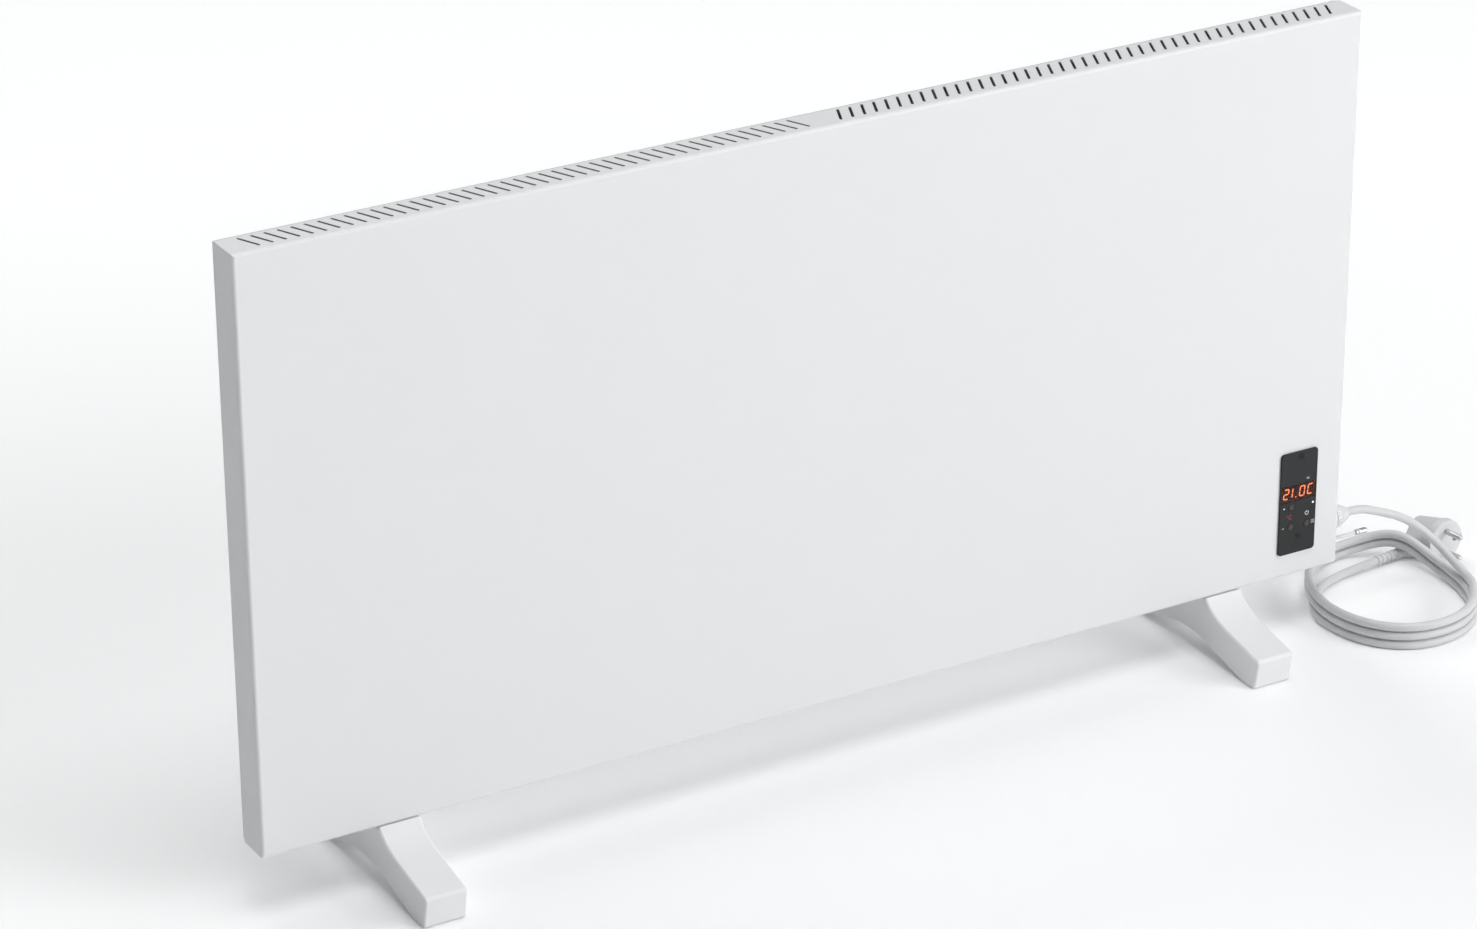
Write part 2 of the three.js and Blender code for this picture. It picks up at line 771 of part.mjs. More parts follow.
const [terminalWidth, terminalDepth, terminalHeight] = terminalSize;
const terminalX = halfWidth - terminalRight;
const terminalBackY = coverFrontY - fit;
const terminalBottom = rearFlange + fit;
const terminal = box(
  [terminalX - terminalWidth, terminalX],
  [terminalBackY - terminalDepth, terminalBackY],
  [bottomZ + terminalBottom, bottomZ + terminalBottom + terminalHeight],
);
add('terminal_block', terminal, ceramic);

const earthX = halfWidth - earthRight;
const earthScrew = alongY(panScrew(footScrewShank, earthReach + sheet));
add('earth_screw', earthScrew, brass, [earthX, backY + fit, bottomZ + earthZ]);

const innerCordX = halfWidth - cordInside;
const wireStartX = innerCordX - fit;
const terminalTop = terminalBottom + terminalHeight + fit;
const terminalLeft = terminalX - terminalWidth - fit;
const neutralPortX = terminalX - portInset;
const livePortX = neutralPortX - portSpacing;
const portY = terminalBackY - terminalDepth / 2;
const rodEnd = elementX + rodHalf + fit;
const rodStart = elementX - rodHalf - fit;

// The wires run from what they join in steps of their own diameter
const step = wireDiameter;
const discTop = reflectorFaceY - fit - cutoutDiscHeight / 2 - step;
const tabRightX = cutoutDiscX + 2.8 * step;
const returnZ = elementZ - 30 * step;

// Each wire's points are given as X, Y and the height above the panel's lower edge
function wire(name, finish, points) {
  const route = points.map(([x, y, z]) => [x, y, bottomZ + z]);
  add(name, tube(route, wireDiameter, 6, 12), finish);
}

wire('wire_live', brownWire, [
  [wireStartX, glandY - 0.95 * step, glandZ - 0.55 * step],
  [wireStartX - 4 * step, glandY - step, glandZ - 0.75 * step],
  [livePortX + 2 * step, portY - 3.3 * step, terminalTop + 2.5 * step],
  [livePortX, portY - 0.3 * step, terminalTop + step],
  [livePortX, portY, terminalTop],
]);
wire('wire_neutral', blueWire, [
  [wireStartX, glandY + 0.95 * step, glandZ - 0.55 * step],
  [wireStartX - 2.5 * step, glandY + 1.2 * step, glandZ - 0.75 * step],
  [neutralPortX + 2 * step, portY - 1.8 * step, terminalTop + 2.5 * step],
  [neutralPortX, portY - 0.3 * step, terminalTop + step],
  [neutralPortX, portY, terminalTop],
]);
wire('wire_earth', earthWire, [
  [wireStartX, glandY, glandZ + 1.1 * step],
  [wireStartX - 2 * step, glandY, glandZ + 1.75 * step],
  [earthX, glandY + 2 * step, earthZ - 4 * step],
  [earthX, glandY + 4 * step, earthZ - 2.25 * step],
  [earthX, glandY + 5 * step, earthZ - 1.7 * step],
]);
wire('wire_to_cutout', whiteWire, [
  [terminalLeft, portY - 0.85 * step, terminalTop - 2.3 * step],
  [terminalLeft - 4 * step, portY - 1.35 * step, terminalTop - 0.8 * step],
  [terminalLeft - 7 * step, elementY + 4.25 * step, elementZ - 25 * step],
  [rodEnd + 6.35 * step, elementY + 3.75 * step, elementZ + 9 * step],
  [rodEnd - 10 * step, elementY + 3.75 * step, cutoutDiscZ - 3 * step],
  [cutoutDiscX + 7 * step, discTop, cutoutDiscZ + 1.5 * step],
  [tabRightX, discTop, cutoutDiscZ + 1.5 * step],
]);
wire('wire_to_element', whiteWire, [
  [tabRightX, discTop, cutoutDiscZ - 1.5 * step],
  [cutoutDiscX + 7 * step, discTop, cutoutDiscZ - 1.5 * step],
  [cutoutDiscX + 24 * step, elementY + 1.75 * step, cutoutDiscZ - 5.5 * step],
  [rodEnd + 2.85 * step, elementY, elementZ + 14 * step],
  [rodEnd + 5.85 * step, elementY, elementZ + 6 * step],
  [rodEnd + 3.5 * step, elementY, elementZ + step],
  [rodEnd, elementY, elementZ],
]);
wire('wire_element_return', blueWire, [
  [terminalLeft, portY, terminalBottom + 1.85 * step],
  [terminalLeft - 6 * step, portY, terminalBottom + 2.35 * step],
  [terminalLeft - 28 * step, portY, returnZ - 5 * step],
  [terminalLeft - 68 * step, portY, returnZ],
  [elementX + 20 * step, portY, returnZ + step],
  [rodStart + 46 * step, portY, returnZ],
  [rodStart + 6 * step, portY - 1.35 * step, returnZ + 6 * step],
  [rodStart - 6 * step, elementY, elementZ - 9 * step],
  [rodStart - 4.5 * step, elementY, elementZ - 1.5 * step],
  [rodStart, elementY, elementZ],
]);

// ---- Cable gland: body, dome nut and locknut, with the end of the lead inside ----

const glandPlace = [halfWidth, glandY, bottomZ + glandZ];
const cordBore = cordDiameter + 2 * fit;
const glandBody = bored([
  [glandThread / 2, -glandInside],
  [glandThread / 2, fit],
  [glandDiameter / 2, fit],
  [glandDiameter / 2, glandFlange],
], cordBore, 20);
add('gland_body', alongX(glandBody), paleGrey, glandPlace);

const capStart = glandFlange + fit;
const coneStart = capStart + glandCapLength;
const capEnd = coneStart + glandConeLength;
const glandCap = bored([
  [glandDiameter / 2, capStart],
  [glandDiameter / 2, coneStart],
  [glandMouth / 2, capEnd],
], cordBore, 20);
add('gland_cap', alongX(glandCap), paleGrey, glandPlace);

const nutEnd = -sheet - fit;
const locknut = cut(
  cylinder(glandNutDiameter, nutEnd - glandNutThickness, nutEnd, 6),
  cylinder(glandThread + 2 * fit, -2 * glandInside, 0, 20),
);
add('gland_locknut', alongX(locknut), paleGrey, glandPlace);

const innerCord = cylinder(cordDiameter, innerCordX - halfWidth, capEnd - fit, 12);
add('cord_inner_end', alongX(innerCord), greyCord, glandPlace);

// ---- Room temperature probe ----

const probePlace = [halfWidth, glandY, bottomZ + probeZ];
const bush = bored([
  [bushNeck / 2, -3 * sheet],
  [bushNeck / 2, fit],
  [bushFlange / 2, fit],
  [bushFlange / 2 - 0.5, bushFlangeThickness],
], probeStem + 2 * fit, 12);
add('probe_bushing', alongX(bush), paleGrey, probePlace);
add('probe_stem', alongX(cylinder(probeStem, -probeStemInside, probeStemReach, 10)), paleGrey, probePlace);
const tip = solid([
  [probeTip / 2, probeStemReach + fit],
  [probeTip / 2, probeReach - 1],
  [probeTip / 2 - 1, probeReach],
], 12);
add('probe_tip', alongX(tip), bareSteel, probePlace);

// ---- Feet: a moulded bow from toe to heel, screwed up into the tray ----

// The foot from the side, from the arch round the heel and the top to the toe: x is Y, y is Z
function footOutline() {
  const half = footLength / 2;
  const top = bottomZ - fit;
  const padOuter = half - footToeLean - footCorner;
  const sweepHeight = footInstepHeight + footSweepRise;
  const shape = new THREE.Shape();
  shape.moveTo(-footPadInner, 0);
  shape.bezierCurveTo(-footArchFlank, footArchEase, -footArchCrown, footArchHeight, 0, footArchHeight);
  shape.bezierCurveTo(footArchCrown, footArchHeight, footArchFlank, footArchEase, footPadInner, 0);
  shape.lineTo(padOuter, 0);
  shape.quadraticCurveTo(half - footToeLean, 0, half - footToeLean, footCorner);
  shape.lineTo(half, footToeHeight - footCorner);
  shape.quadraticCurveTo(half, footToeHeight, half - footCorner, footToeHeight);
  shape.lineTo(backY + footSweep, footInstepHeight);
  shape.quadraticCurveTo(backY + footSweepPull, sweepHeight, backY, top);
  shape.lineTo(frontY, top);
  const instepFront = frontY - footSweep;
  shape.quadraticCurveTo(frontY - footSweepPull, sweepHeight, instepFront, footInstepHeight);
  shape.lineTo(-half + footCorner, footToeHeight);
  shape.quadraticCurveTo(-half, footToeHeight, -half, footToeHeight - footCorner);
  shape.lineTo(-half + footToeLean, footCorner);
  shape.quadraticCurveTo(-half + footToeLean, 0, -padOuter, 0);
  return new THREE.Shape(shape.getPoints(6));
}

function foot(places, x) {
  const inner = footWidth / 2 - footEdge;
  const body = extrudeX(footOutline(), -inner, inner, {
    bevelEnabled: true,
    bevelThickness: footEdge,
    bevelSize: footEdge,
    bevelOffset: -footEdge,
    bevelSegments: 2,
  });
  const tools = [];
  for (const [screwX, screwY] of places) {
    const bore = cylinder(footScrewShank + 2 * fit, footScrewSeat - 1, topZ, 8);
    const sink = cylinder(footScrewBore, -1, footScrewSeat, 12);
    tools.push(bore.translate(screwX - x, screwY, 0), sink.translate(screwX - x, screwY, 0));
  }
  return cut(body, ...tools);
}

for (const [name, side] of [['left', -1], ['right', 1]]) {
  const x = (side * footSpacing) / 2;
  const places = footScrewPlaces.filter(([screwX]) => Math.sign(screwX) === side);
  add(`foot_${name}`, foot(places, x), footPlastic, [x, 0, 0]);
}

footScrewPlaces.forEach(([x, y], i) => {
  const length = bottomZ + 3 * sheet - footScrewSeat;
  const screw = panScrew(footScrewShank, length).rotateX(Math.PI);
  add(`foot_screw_${i + 1}`, screw, zinc, [x, y, footScrewSeat - fit]);
});

// ---- Mains lead: a free stretch, a coil of loose turns, and a tail to the plug ----

function smooth(t) {
  const s = THREE.MathUtils.clamp(t, 0, 1);
  return s * s * s * (s * (6 * s - 15) + 10);
}

// Sum of soft bumps that come back on every turn
function bumps(angle, middle, spread) {
  let sum = 0;
  for (let turn = -1; turn <= 2; turn += 1) {
    sum += Math.exp(-(((angle - middle - 360 * turn) / spread) ** 2));
  }
  return sum;
}

// A point of the coil's middle line, by its angle in degrees, clockwise seen from above
function coilPoint(angle) {
  const turn = -THREE.MathUtils.degToRad(angle);
  const outward = new THREE.Vector2(coilHalfLength * Math.cos(turn), coilHalfWidth * Math.sin(turn));
  let inward = 0;
  for (const [middle, depth, spread] of dents) inward += depth * bumps(angle, middle, spread);
  const plan = new THREE.Vector2(coilHalfWidth * Math.cos(turn), coilHalfLength * Math.sin(turn));
  plan.addScaledVector(outward.normalize(), -inward).rotateAround(origin, coilTurned);
  const dropped = drops.reduce((sum, from) => sum + smooth((angle - from) / dropSpread), 0);
  const hump = humpHeight * bumps(angle, humpAngle, humpSpread);
  const height = lowestTurn + layer * (drops.length - dropped) + hump;
  return new THREE.Vector3(coilMiddle[0] + plan.x, coilMiddle[1] + plan.y, height);
}

function coilDirection(angle) {
  return coilPoint(angle + 0.5).sub(coilPoint(angle - 0.5)).normalize();
}

function beyond(point, direction, distance) {
  return point.clone().addScaledVector(direction, distance);
}

// The middle line: the turns, with one straight diameter of cord at each end
function coilLine() {
  const line = [];
  const step = 360 / coilStepsPerTurn;
  for (let angle = coilFrom; angle <= coilTo; angle += step) line.push(coilPoint(angle));
  line.unshift(beyond(coilPoint(coilFrom), coilDirection(coilFrom), -cordDiameter));
  line.push(beyond(coilPoint(coilTo), coilDirection(coilTo), cordDiameter));
  return line;
}

// One unbroken tube of plain rings along the middle line
function coilTube(line) {
  const positions = [];
  const index = [];
  const up = new THREE.Vector3(0, 0, 1);
  line.forEach((point, i) => {
    const before = line[Math.max(i - 1, 0)];
    const after = line[Math.min(i + 1, line.length - 1)];
    const along = after.clone().sub(before).normalize();
    const side = along.clone().cross(up).normalize();
    const over = side.clone().cross(along);
    for (let k = 0; k < coilSides; k += 1) {
      const angle = (2 * Math.PI * k) / coilSides;
      const corner = point.clone();
      corner.addScaledVector(over, (cordDiameter / 2) * Math.cos(angle));
      corner.addScaledVector(side, (cordDiameter / 2) * Math.sin(angle));
      positions.push(...corner.toArray());
    }
  });
  const rings = line.length;
  for (let i = 0; i + 1 < rings; i += 1) {
    for (let k = 0; k < coilSides; k += 1) {
      const next = (k + 1) % coilSides;
      const [a, b] = [i * coilSides + k, i * coilSides + next];
      const [c, d] = [a + coilSides, b + coilSides];
      index.push(a, b, d, a, d, c);
    }
  }
  const last = (rings - 1) * coilSides;
  for (let k = 1; k + 1 < coilSides; k += 1) {
    index.push(0, k + 1, k, last, last + k, last + k + 1);
  }
  const geometry = new THREE.BufferGeometry();
  geometry.setAttribute('position', new THREE.Float32BufferAttribute(positions, 3));
  geometry.setIndex(index);
  geometry.computeVertexNormals();
  return geometry;
}

// The least distance between points of the coil that lie half a turn or more apart
function leastGap(geometry) {
  const points = geometry.attributes.position;
  const apart = (coilStepsPerTurn / 2) * coilSides;
  const [p, q] = [new THREE.Vector3(), new THREE.Vector3()];
  let least = Infinity;
  for (let i = 0; i < points.count; i += 1) {
    p.fromBufferAttribute(points, i);
    for (let j = i + apart; j < points.count; j += 1) {
      least = Math.min(least, p.distanceTo(q.fromBufferAttribute(points, j)));
    }
  }
  return least;
}

const line = coilLine();
const coil = coilTube(line);
console.log(`least gap of the coil to itself: ${leastGap(coil).toFixed(2)} mm`);

const coilStart = line[0];
const coilEnd = line[line.length - 1];
const leadEnd = beyond(coilStart, coilDirection(coilFrom), -fit);
const leadEndStraight = beyond(leadEnd, coilDirection(coilFrom), -cordDiameter);
const tailStart = beyond(coilEnd, coilDirection(coilTo), fit);
const tailStartStraight = beyond(tailStart, coilDirection(coilTo), cordDiameter);

const leadPoints = [
  [halfWidth + capEnd + fit, glandY, bottomZ + glandZ],
  [529, -7.5, 88.4],
  [540, -6.9, 86.6],
  [553.2, -5.6, 81.4],
  [565.9, -4.7, 75.9],
  [579.4, -4, 69.5],
  [593, -3.8, 61],
  [604.8, -5.6, 51.3],
  [614.7, -10.8, 41],
  [620.6, -19.5, 31.8],
  [623, -32.5, 24.8],
  [622.6, -46, 21.5],
  [619.5, -59, 20.7],
  leadEndStraight.toArray(),
  leadEnd.toArray(),
];

// ---- Strain relief and plug, standing on the plug's rim ----

const along = new THREE.Vector3(Math.cos(reliefTurned), Math.sin(reliefTurned), 0);
const reliefFrom = new THREE.Vector3(...reliefStart, reliefHeight);
const tailEnd = beyond(reliefFrom, along, -fit);
const tailPoints = [
  tailStart.toArray(),
  tailStartStraight.toArray(),
  [488.2, -18, 4],
  [495, -3.5, 4],
  [506, 11, 4],
  [520, 22.7, 4],
  [536.5, 30.8, 4],
  [553.5, 35.2, 4.2],
  [570, 37.2, 4.9],
  beyond(tailEnd, along, -cordDiameter).toArray(),
  tailEnd.toArray(),
];

add('power_cord_lead', tube(leadPoints, cordDiameter, 8, cordStep), greyCord);
add('power_cord_coil', coil, greyCord);
add('power_cord_tail', tube(tailPoints, cordDiameter, 8, cordStep), greyCord);

function strainRelief() {
  const profile = [];
  const pitch = reliefLength / (reliefRibs + 0.5);
  for (let i = 0; i <= reliefRibs; i += 1) {
    const start = i * pitch;
    const radius = THREE.MathUtils.lerp(reliefThin, reliefThick, start / reliefLength) / 2;
    profile.push([radius, start], [radius, start + pitch / 2]);
    if (i < reliefRibs) {
      profile.push([radius - reliefGroove, start + pitch / 2], [radius - reliefGroove, start + pitch]);
    }
  }
  return solid(profile, 8);
}

// The plug's own axes: X runs on from the strain relief, -Y is towards the pins, Z is up
const plug = new THREE.Group();
plug.position.copy(beyond(reliefFrom, along, reliefLength));
plug.position.z = 0;
plug.rotation.z = reliefTurned;
heater.add(plug);

function addToPlug(name, geometry, finish) {
  const mesh = new THREE.Mesh(geometry, finish);
  mesh.name = name;
  plug.add(mesh);
}

const plugMiddleZ = plugTop - plugDiameter / 2;

function plugBody() {
  const points = [];
  const ring = (count, radius, place) => {
    for (let i = 0; i < count; i += 1) {
      const angle = (2 * Math.PI * i) / count;
      points.push(place(radius * Math.cos(angle), radius * Math.sin(angle)));
    }
  };
  ring(10, reliefThick / 2, (a, b) => new THREE.Vector3(fit, a, reliefHeight + b));
  const rimY = -plugFace + plugRim;
  ring(16, plugDiameter / 2 - 1, (a, b) => new THREE.Vector3(plugAlong + a, rimY, plugMiddleZ + b));
  ring(12, plugBackRadius, (a, b) => new THREE.Vector3(plugAlong + a, plugBack, plugMiddleZ + b));
  const hull = new ConvexGeometry(points);
  const disc = alongY(cylinder(plugDiameter, -plugFace, rimY + fit, 28));
  const tools = [];
  for (const side of [-1, 1]) {
    const root = alongY(cylinder(pinDiameter + 2 * fit, -plugFace - 1, -plugFace + pinRoot, 12));
    tools.push(root.translate(plugAlong, 0, plugMiddleZ + (side * pinSpacing) / 2));
    const notchDepth = clipThickness + 2 * fit;
    const edge = plugAlong + (side * plugDiameter) / 2;
    tools.push(box(
      side > 0 ? [edge - notchDepth, edge + 1] : [edge - 1, edge + notchDepth],
      [-plugFace - 1, -plugFace + clipLength + 2 * fit],
      [plugMiddleZ - clipWidth / 2 - fit, plugMiddleZ + clipWidth / 2 + fit],
    ));
  }
  return cut(join(hull, disc.translate(plugAlong, 0, plugMiddleZ)), ...tools);
}

const relief = alongX(strainRelief());
relief.translate(-reliefLength, 0, reliefHeight);
addToPlug('plug_strain_relief', relief, greyCord);
addToPlug('plug_body', plugBody(), greyCord);

[-1, 1].forEach((side, i) => {
  const pin = solid([
    [pinDiameter / 2, -pinRoot + fit],
    [pinDiameter / 2, pinLength - 1.2],
    [pinDiameter / 4, pinLength],
  ], 12);
  const place = [plugAlong, -plugFace, plugMiddleZ + (side * pinSpacing) / 2];
  addToPlug(`plug_pin_${i + 1}`, alongY(pin.rotateX(Math.PI)).translate(...place), bareSteel);
  const outer = plugDiameter / 2 - fit;
  const [near, far] = [plugAlong + side * outer, plugAlong + side * (outer - clipThickness)];
  addToPlug(`plug_earth_clip_${i + 1}`, box(
    [Math.min(near, far), Math.max(near, far)],
    [-plugFace, -plugFace + clipLength],
    [plugMiddleZ - clipWidth / 2, plugMiddleZ + clipWidth / 2],
  ), bareSteel);
});

export default heater;
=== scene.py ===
from math import cos, exp, pi, radians, sin, tan

import bmesh
import bpy
from mathutils import Matrix, Vector
from mathutils.geometry import interpolate_bezier


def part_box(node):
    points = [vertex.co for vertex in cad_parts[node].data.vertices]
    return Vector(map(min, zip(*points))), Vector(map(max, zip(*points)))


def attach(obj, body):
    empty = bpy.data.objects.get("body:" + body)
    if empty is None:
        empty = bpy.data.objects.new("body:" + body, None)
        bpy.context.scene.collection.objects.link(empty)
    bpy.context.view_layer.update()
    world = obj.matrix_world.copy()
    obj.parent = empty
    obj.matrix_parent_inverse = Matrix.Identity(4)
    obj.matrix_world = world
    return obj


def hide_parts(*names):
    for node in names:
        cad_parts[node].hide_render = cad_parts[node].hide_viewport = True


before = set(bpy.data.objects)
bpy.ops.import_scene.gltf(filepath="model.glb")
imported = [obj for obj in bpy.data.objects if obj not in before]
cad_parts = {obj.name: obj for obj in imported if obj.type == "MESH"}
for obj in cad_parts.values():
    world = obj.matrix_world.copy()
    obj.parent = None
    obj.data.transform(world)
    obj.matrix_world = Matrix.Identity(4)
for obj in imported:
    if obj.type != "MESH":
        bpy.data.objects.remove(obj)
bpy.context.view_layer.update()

# --------------------------------------------------------------------------------------------
# Camera: a long lens to the left of the heater, looking down on it. Its place, its turn and
# its lens follow from the panel's edges in the photograph.
# --------------------------------------------------------------------------------------------

camera_place = (-1.8888, -3.0939, 1.9173)
camera_heading = radians(30.17)
camera_dip = radians(24.72)
camera_roll = radians(-0.345)
camera_lens = 123.31
camera_film = 36
camera_sees = 60

camera = bpy.data.objects.new("camera", bpy.data.cameras.new("camera"))
camera.data.lens = camera_lens
camera.data.sensor_width = camera_film
camera.data.clip_end = camera_sees
camera.matrix_world = (
    Matrix.Translation(camera_place)
    @ Matrix.Rotation(-camera_heading, 4, "Z")
    @ Matrix.Rotation(pi / 2 - camera_dip, 4, "X")
    @ Matrix.Rotation(camera_roll, 4, "Z")
)
bpy.context.scene.collection.objects.link(camera)
bpy.context.scene.camera = camera

# --------------------------------------------------------------------------------------------
# Mains lead: one length of soft grey three-core cable. It leaves the gland, falls into a coil
# of nearly two and a half loose turns, and runs on inside the coil to the plug's strain relief.
# --------------------------------------------------------------------------------------------

middle_of_case = -0.022
gap = 0.0003                         # between pieces that touch
cord_thickness = 0.0074
cord_roundness = 8
layer = 0.0082                       # from one turn of the coil up to the next
lowest_turn = 0.004
coil_middle = Vector((0.5595 + middle_of_case, -0.0193))
coil_half_width = 0.0695
coil_half_length = 0.0912
coil_turned = -0.4
coil_from = 25                       # degrees, clockwise seen from above
coil_to = 865
coil_step = 3
dents = [(325, 0.0052, 38), (205, 0.005, 35), (35, -0.0035, 30)]     # angle, depth, spread
drops = (195, 555)                   # where the lead goes down to the next lower turn
drop_spread = 60
hump_angle = 296                     # where the turns pass over the strain relief
hump_height = 0.011
hump_spread = 26

relief_turned = radians(6)
relief_length = 0.031
relief_height = 0.0054


def row(x, y, z):
    """A place given in mm from the middle of the case."""
    return Vector((x / 1000 + middle_of_case, y / 1000, z / 1000))


def eased(t):
    """Goes from 0 to 1 as t does, and is level at both ends."""
    s = min(max(t, 0), 1)
    return s * s * s * (s * (6 * s - 15) + 10)


def bumps(angle, middle, spread):
    """Soft bumps that come back on every turn."""
    return sum(exp(-(((angle - middle - 360 * turn) / spread) ** 2)) for turn in (-1, 0, 1, 2))


def coil_point(angle):
    turn = -radians(angle)
    outward = Vector((coil_half_length * cos(turn), coil_half_width * sin(turn))).normalized()
    inward = sum(depth * bumps(angle, middle, spread) for middle, depth, spread in dents)
    plan = Vector((coil_half_width * cos(turn), coil_half_length * sin(turn))) - inward * outward
    plan.rotate(Matrix.Rotation(coil_turned, 2))
    dropped = sum(eased((angle - start) / drop_spread) for start in drops)
    hump = hump_height * bumps(angle, hump_angle, hump_spread)
    height = lowest_turn + layer * (len(drops) - dropped) + hump
    return (coil_middle + plan).to_3d() + Vector((0, 0, height))


def coil_direction(angle):
    return (coil_point(angle + 0.5) - coil_point(angle - 0.5)).normalized()


def smooth_line(points, steps=10):
    """Points along a smooth line through the given ones, sharply bent where they are close."""
    ends = [2 * points[0] - points[1], *points, 2 * points[-1] - points[-2]]
    line = []
    for before, start, end, after in zip(ends, ends[1:], ends[2:], ends[3:]):
        pairs = (before, start), (start, end), (end, after)
        d0, d1, d2 = ((q - p).length ** 0.5 for p, q in pairs)
        leave = ((start - before) / d0 - (end - before) / (d0 + d1)) * d1 + end - start
        reach = end - start - ((after - start) / (d1 + d2) - (after - end) / d2) * d1
        handles = start + leave / 3, end - reach / 3
        line += interpolate_bezier(start, *handles, end, steps + 1)[:-1]
    return [*line, points[-1]]


relief_start = row(593, 39.2, 5.4)
relief_along = Vector((cos(relief_turned), sin(relief_turned), 0))
coil_start = coil_point(coil_from) - cord_thickness * coil_direction(coil_from)
coil_end = coil_point(coil_to) + cord_thickness * coil_direction(coil_to)
lead_route = [
    row(521.3, -7.5, 88.4), row(529, -7.5, 88.4), row(540, -6.9, 86.6), row(553.2, -5.6, 81.4),
    row(565.9, -4.7, 75.9), row(579.4, -4, 69.5), row(593, -3.8, 61), row(604.8, -5.6, 51.3),
    row(614.7, -10.8, 41), row(620.6, -19.5, 31.8), row(623, -32.5, 24.8), row(622.6, -46, 21.5),
    row(619.5, -59, 20.7), coil_start - (cord_thickness + gap) * coil_direction(coil_from),
    coil_start,
]
tail_route = [
    coil_end, coil_end + (cord_thickness + gap) * coil_direction(coil_to), row(488.2, -18, 4),
    row(495, -3.5, 4), row(506, 11, 4), row(520, 22.7, 4), row(536.5, 30.8, 4),
    row(553.5, 35.2, 4.2), row(570, 37.2, 4.9),
    relief_start - (cord_thickness + gap) * relief_along, relief_start - gap * relief_along,
]
turns = [coil_point(angle) for angle in range(coil_from, coil_to + 1, coil_step)]
cord_line = smooth_line(lead_route)[:-1] + turns + smooth_line(tail_route)


def make_finish(name, colour, roughness, metal=0, drift=0.03, drift_size=5, grain=0.1,
                grain_size=0.8):
    """A finish whose tone drifts over drift_size, in mm, and whose surface is broken up over
    grain_size."""
    rough_swing = 0.12               # how far its roughness swings to either side
    grain_depth = 0.2                # as a share of the grain's size
    first, second, mixed = 6, 7, 2   # the colour sockets of a Mix node
    material = bpy.data.materials.new(name)
    material.use_nodes = True
    nodes, link = material.node_tree.nodes, material.node_tree.links.new
    shader = nodes["Principled BSDF"]
    shader.inputs["Metallic"].default_value = metal
    place = nodes.new("ShaderNodeTexCoord")
    slow, fine = nodes.new("ShaderNodeTexNoise"), nodes.new("ShaderNodeTexNoise")
    for noise, size in ((slow, drift_size), (fine, grain_size)):
        noise.inputs["Scale"].default_value = 1000 / size
        link(place.outputs["Object"], noise.inputs["Vector"])
    tone = nodes.new("ShaderNodeMix")
    tone.data_type = "RGBA"
    tone.inputs[first].default_value = (*[c * (1 - drift) for c in colour], 1)
    tone.inputs[second].default_value = (*[min(c * (1 + drift), 1) for c in colour], 1)
    link(slow.outputs["Fac"], tone.inputs["Factor"])
    link(tone.outputs[mixed], shader.inputs["Base Color"])
    dull = nodes.new("ShaderNodeMapRange")
    dull.inputs["To Min"].default_value = roughness * (1 - rough_swing)
    dull.inputs["To Max"].default_value = min(roughness * (1 + rough_swing), 1)
    link(fine.outputs["Fac"], dull.inputs["Value"])
    link(dull.outputs["Result"], shader.inputs["Roughness"])
    relief = nodes.new("ShaderNodeBump")
    relief.inputs["Strength"].default_value = grain
    relief.inputs["Distance"].default_value = grain_depth * grain_size / 1000
    link(fine.outputs["Fac"], relief.inputs["Height"])
    link(relief.outputs["Normal"], shader.inputs["Normal"])
    return material


cord_grey = make_finish("cord_grey", (0.64, 0.645, 0.65), 0.48, drift=0.04, drift_size=30,
                        grain=0.3, grain_size=0.5)

cord_curve = bpy.data.curves.new("power_cord", "CURVE")
cord_curve.dimensions = "3D"
cord_curve.bevel_depth = cord_thickness / 2
cord_curve.bevel_resolution = cord_roundness
cord_curve.use_fill_caps = True
cord_curve.materials.append(cord_grey)
spline = cord_curve.splines.new("POLY")
spline.points.add(len(cord_line) - 1)
for point, place in zip(spline.points, cord_line):
    point.co = (*place, 1)
power_cord = bpy.data.objects.new("power_cord", cord_curve)
bpy.context.scene.collection.objects.link(power_cord)
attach(power_cord, "root")
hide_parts("power_cord_lead", "power_cord_coil", "power_cord_tail")

# --------------------------------------------------------------------------------------------
# Studio: a pale floor that glows a little, more so away from the heater, two broad soft lights
# above, another low in front to the right, one behind, and a trace of light from all round.
# --------------------------------------------------------------------------------------------

floor_half = 14
floor_glow = (0.056, 0.15)           # near the heater, and away from it
glow_reach = (0.5, 1.6)              # from where to where the glow grows
air_colour = (0.95, 0.97, 1.0, 1)
air_strength = 0.04


def tune(finish, **settings):
    """Sets more of the shader's own sockets, each the same all over the surface."""
    for socket, value in settings.items():
        shader = finish.node_tree.nodes["Principled BSDF"]
        shader.inputs[socket.replace("_", " ")].default_value = value


floor_finish = make_finish("pale_floor", (0.95, 0.955, 0.96), 0.6, drift=0.004, grain=0.02)
tune(floor_finish, Emission_Color=(1, 1, 1, 1))
floor_nodes = floor_finish.node_tree.nodes
away = floor_nodes.new("ShaderNodeVectorMath")
away.operation = "LENGTH"
fade = floor_nodes.new("ShaderNodeMapRange")
fade.interpolation_type = "SMOOTHSTEP"
fade.inputs["From Min"].default_value, fade.inputs["From Max"].default_value = glow_reach
fade.inputs["To Min"].default_value, fade.inputs["To Max"].default_value = floor_glow
for start, end in (
    (floor_nodes["Texture Coordinate"].outputs["Object"], away.inputs["Vector"]),
    (away.outputs["Value"], fade.inputs["Value"]),
    (fade.outputs["Result"], floor_nodes["Principled BSDF"].inputs["Emission Strength"]),
):
    floor_finish.node_tree.links.new(start, end)
floor_mesh = bmesh.new()
bmesh.ops.create_grid(floor_mesh, x_segments=1, y_segments=1, size=floor_half)
floor = bpy.data.objects.new("floor", bpy.data.meshes.new("floor"))
floor_mesh.to_mesh(floor.data)
floor_mesh.free()
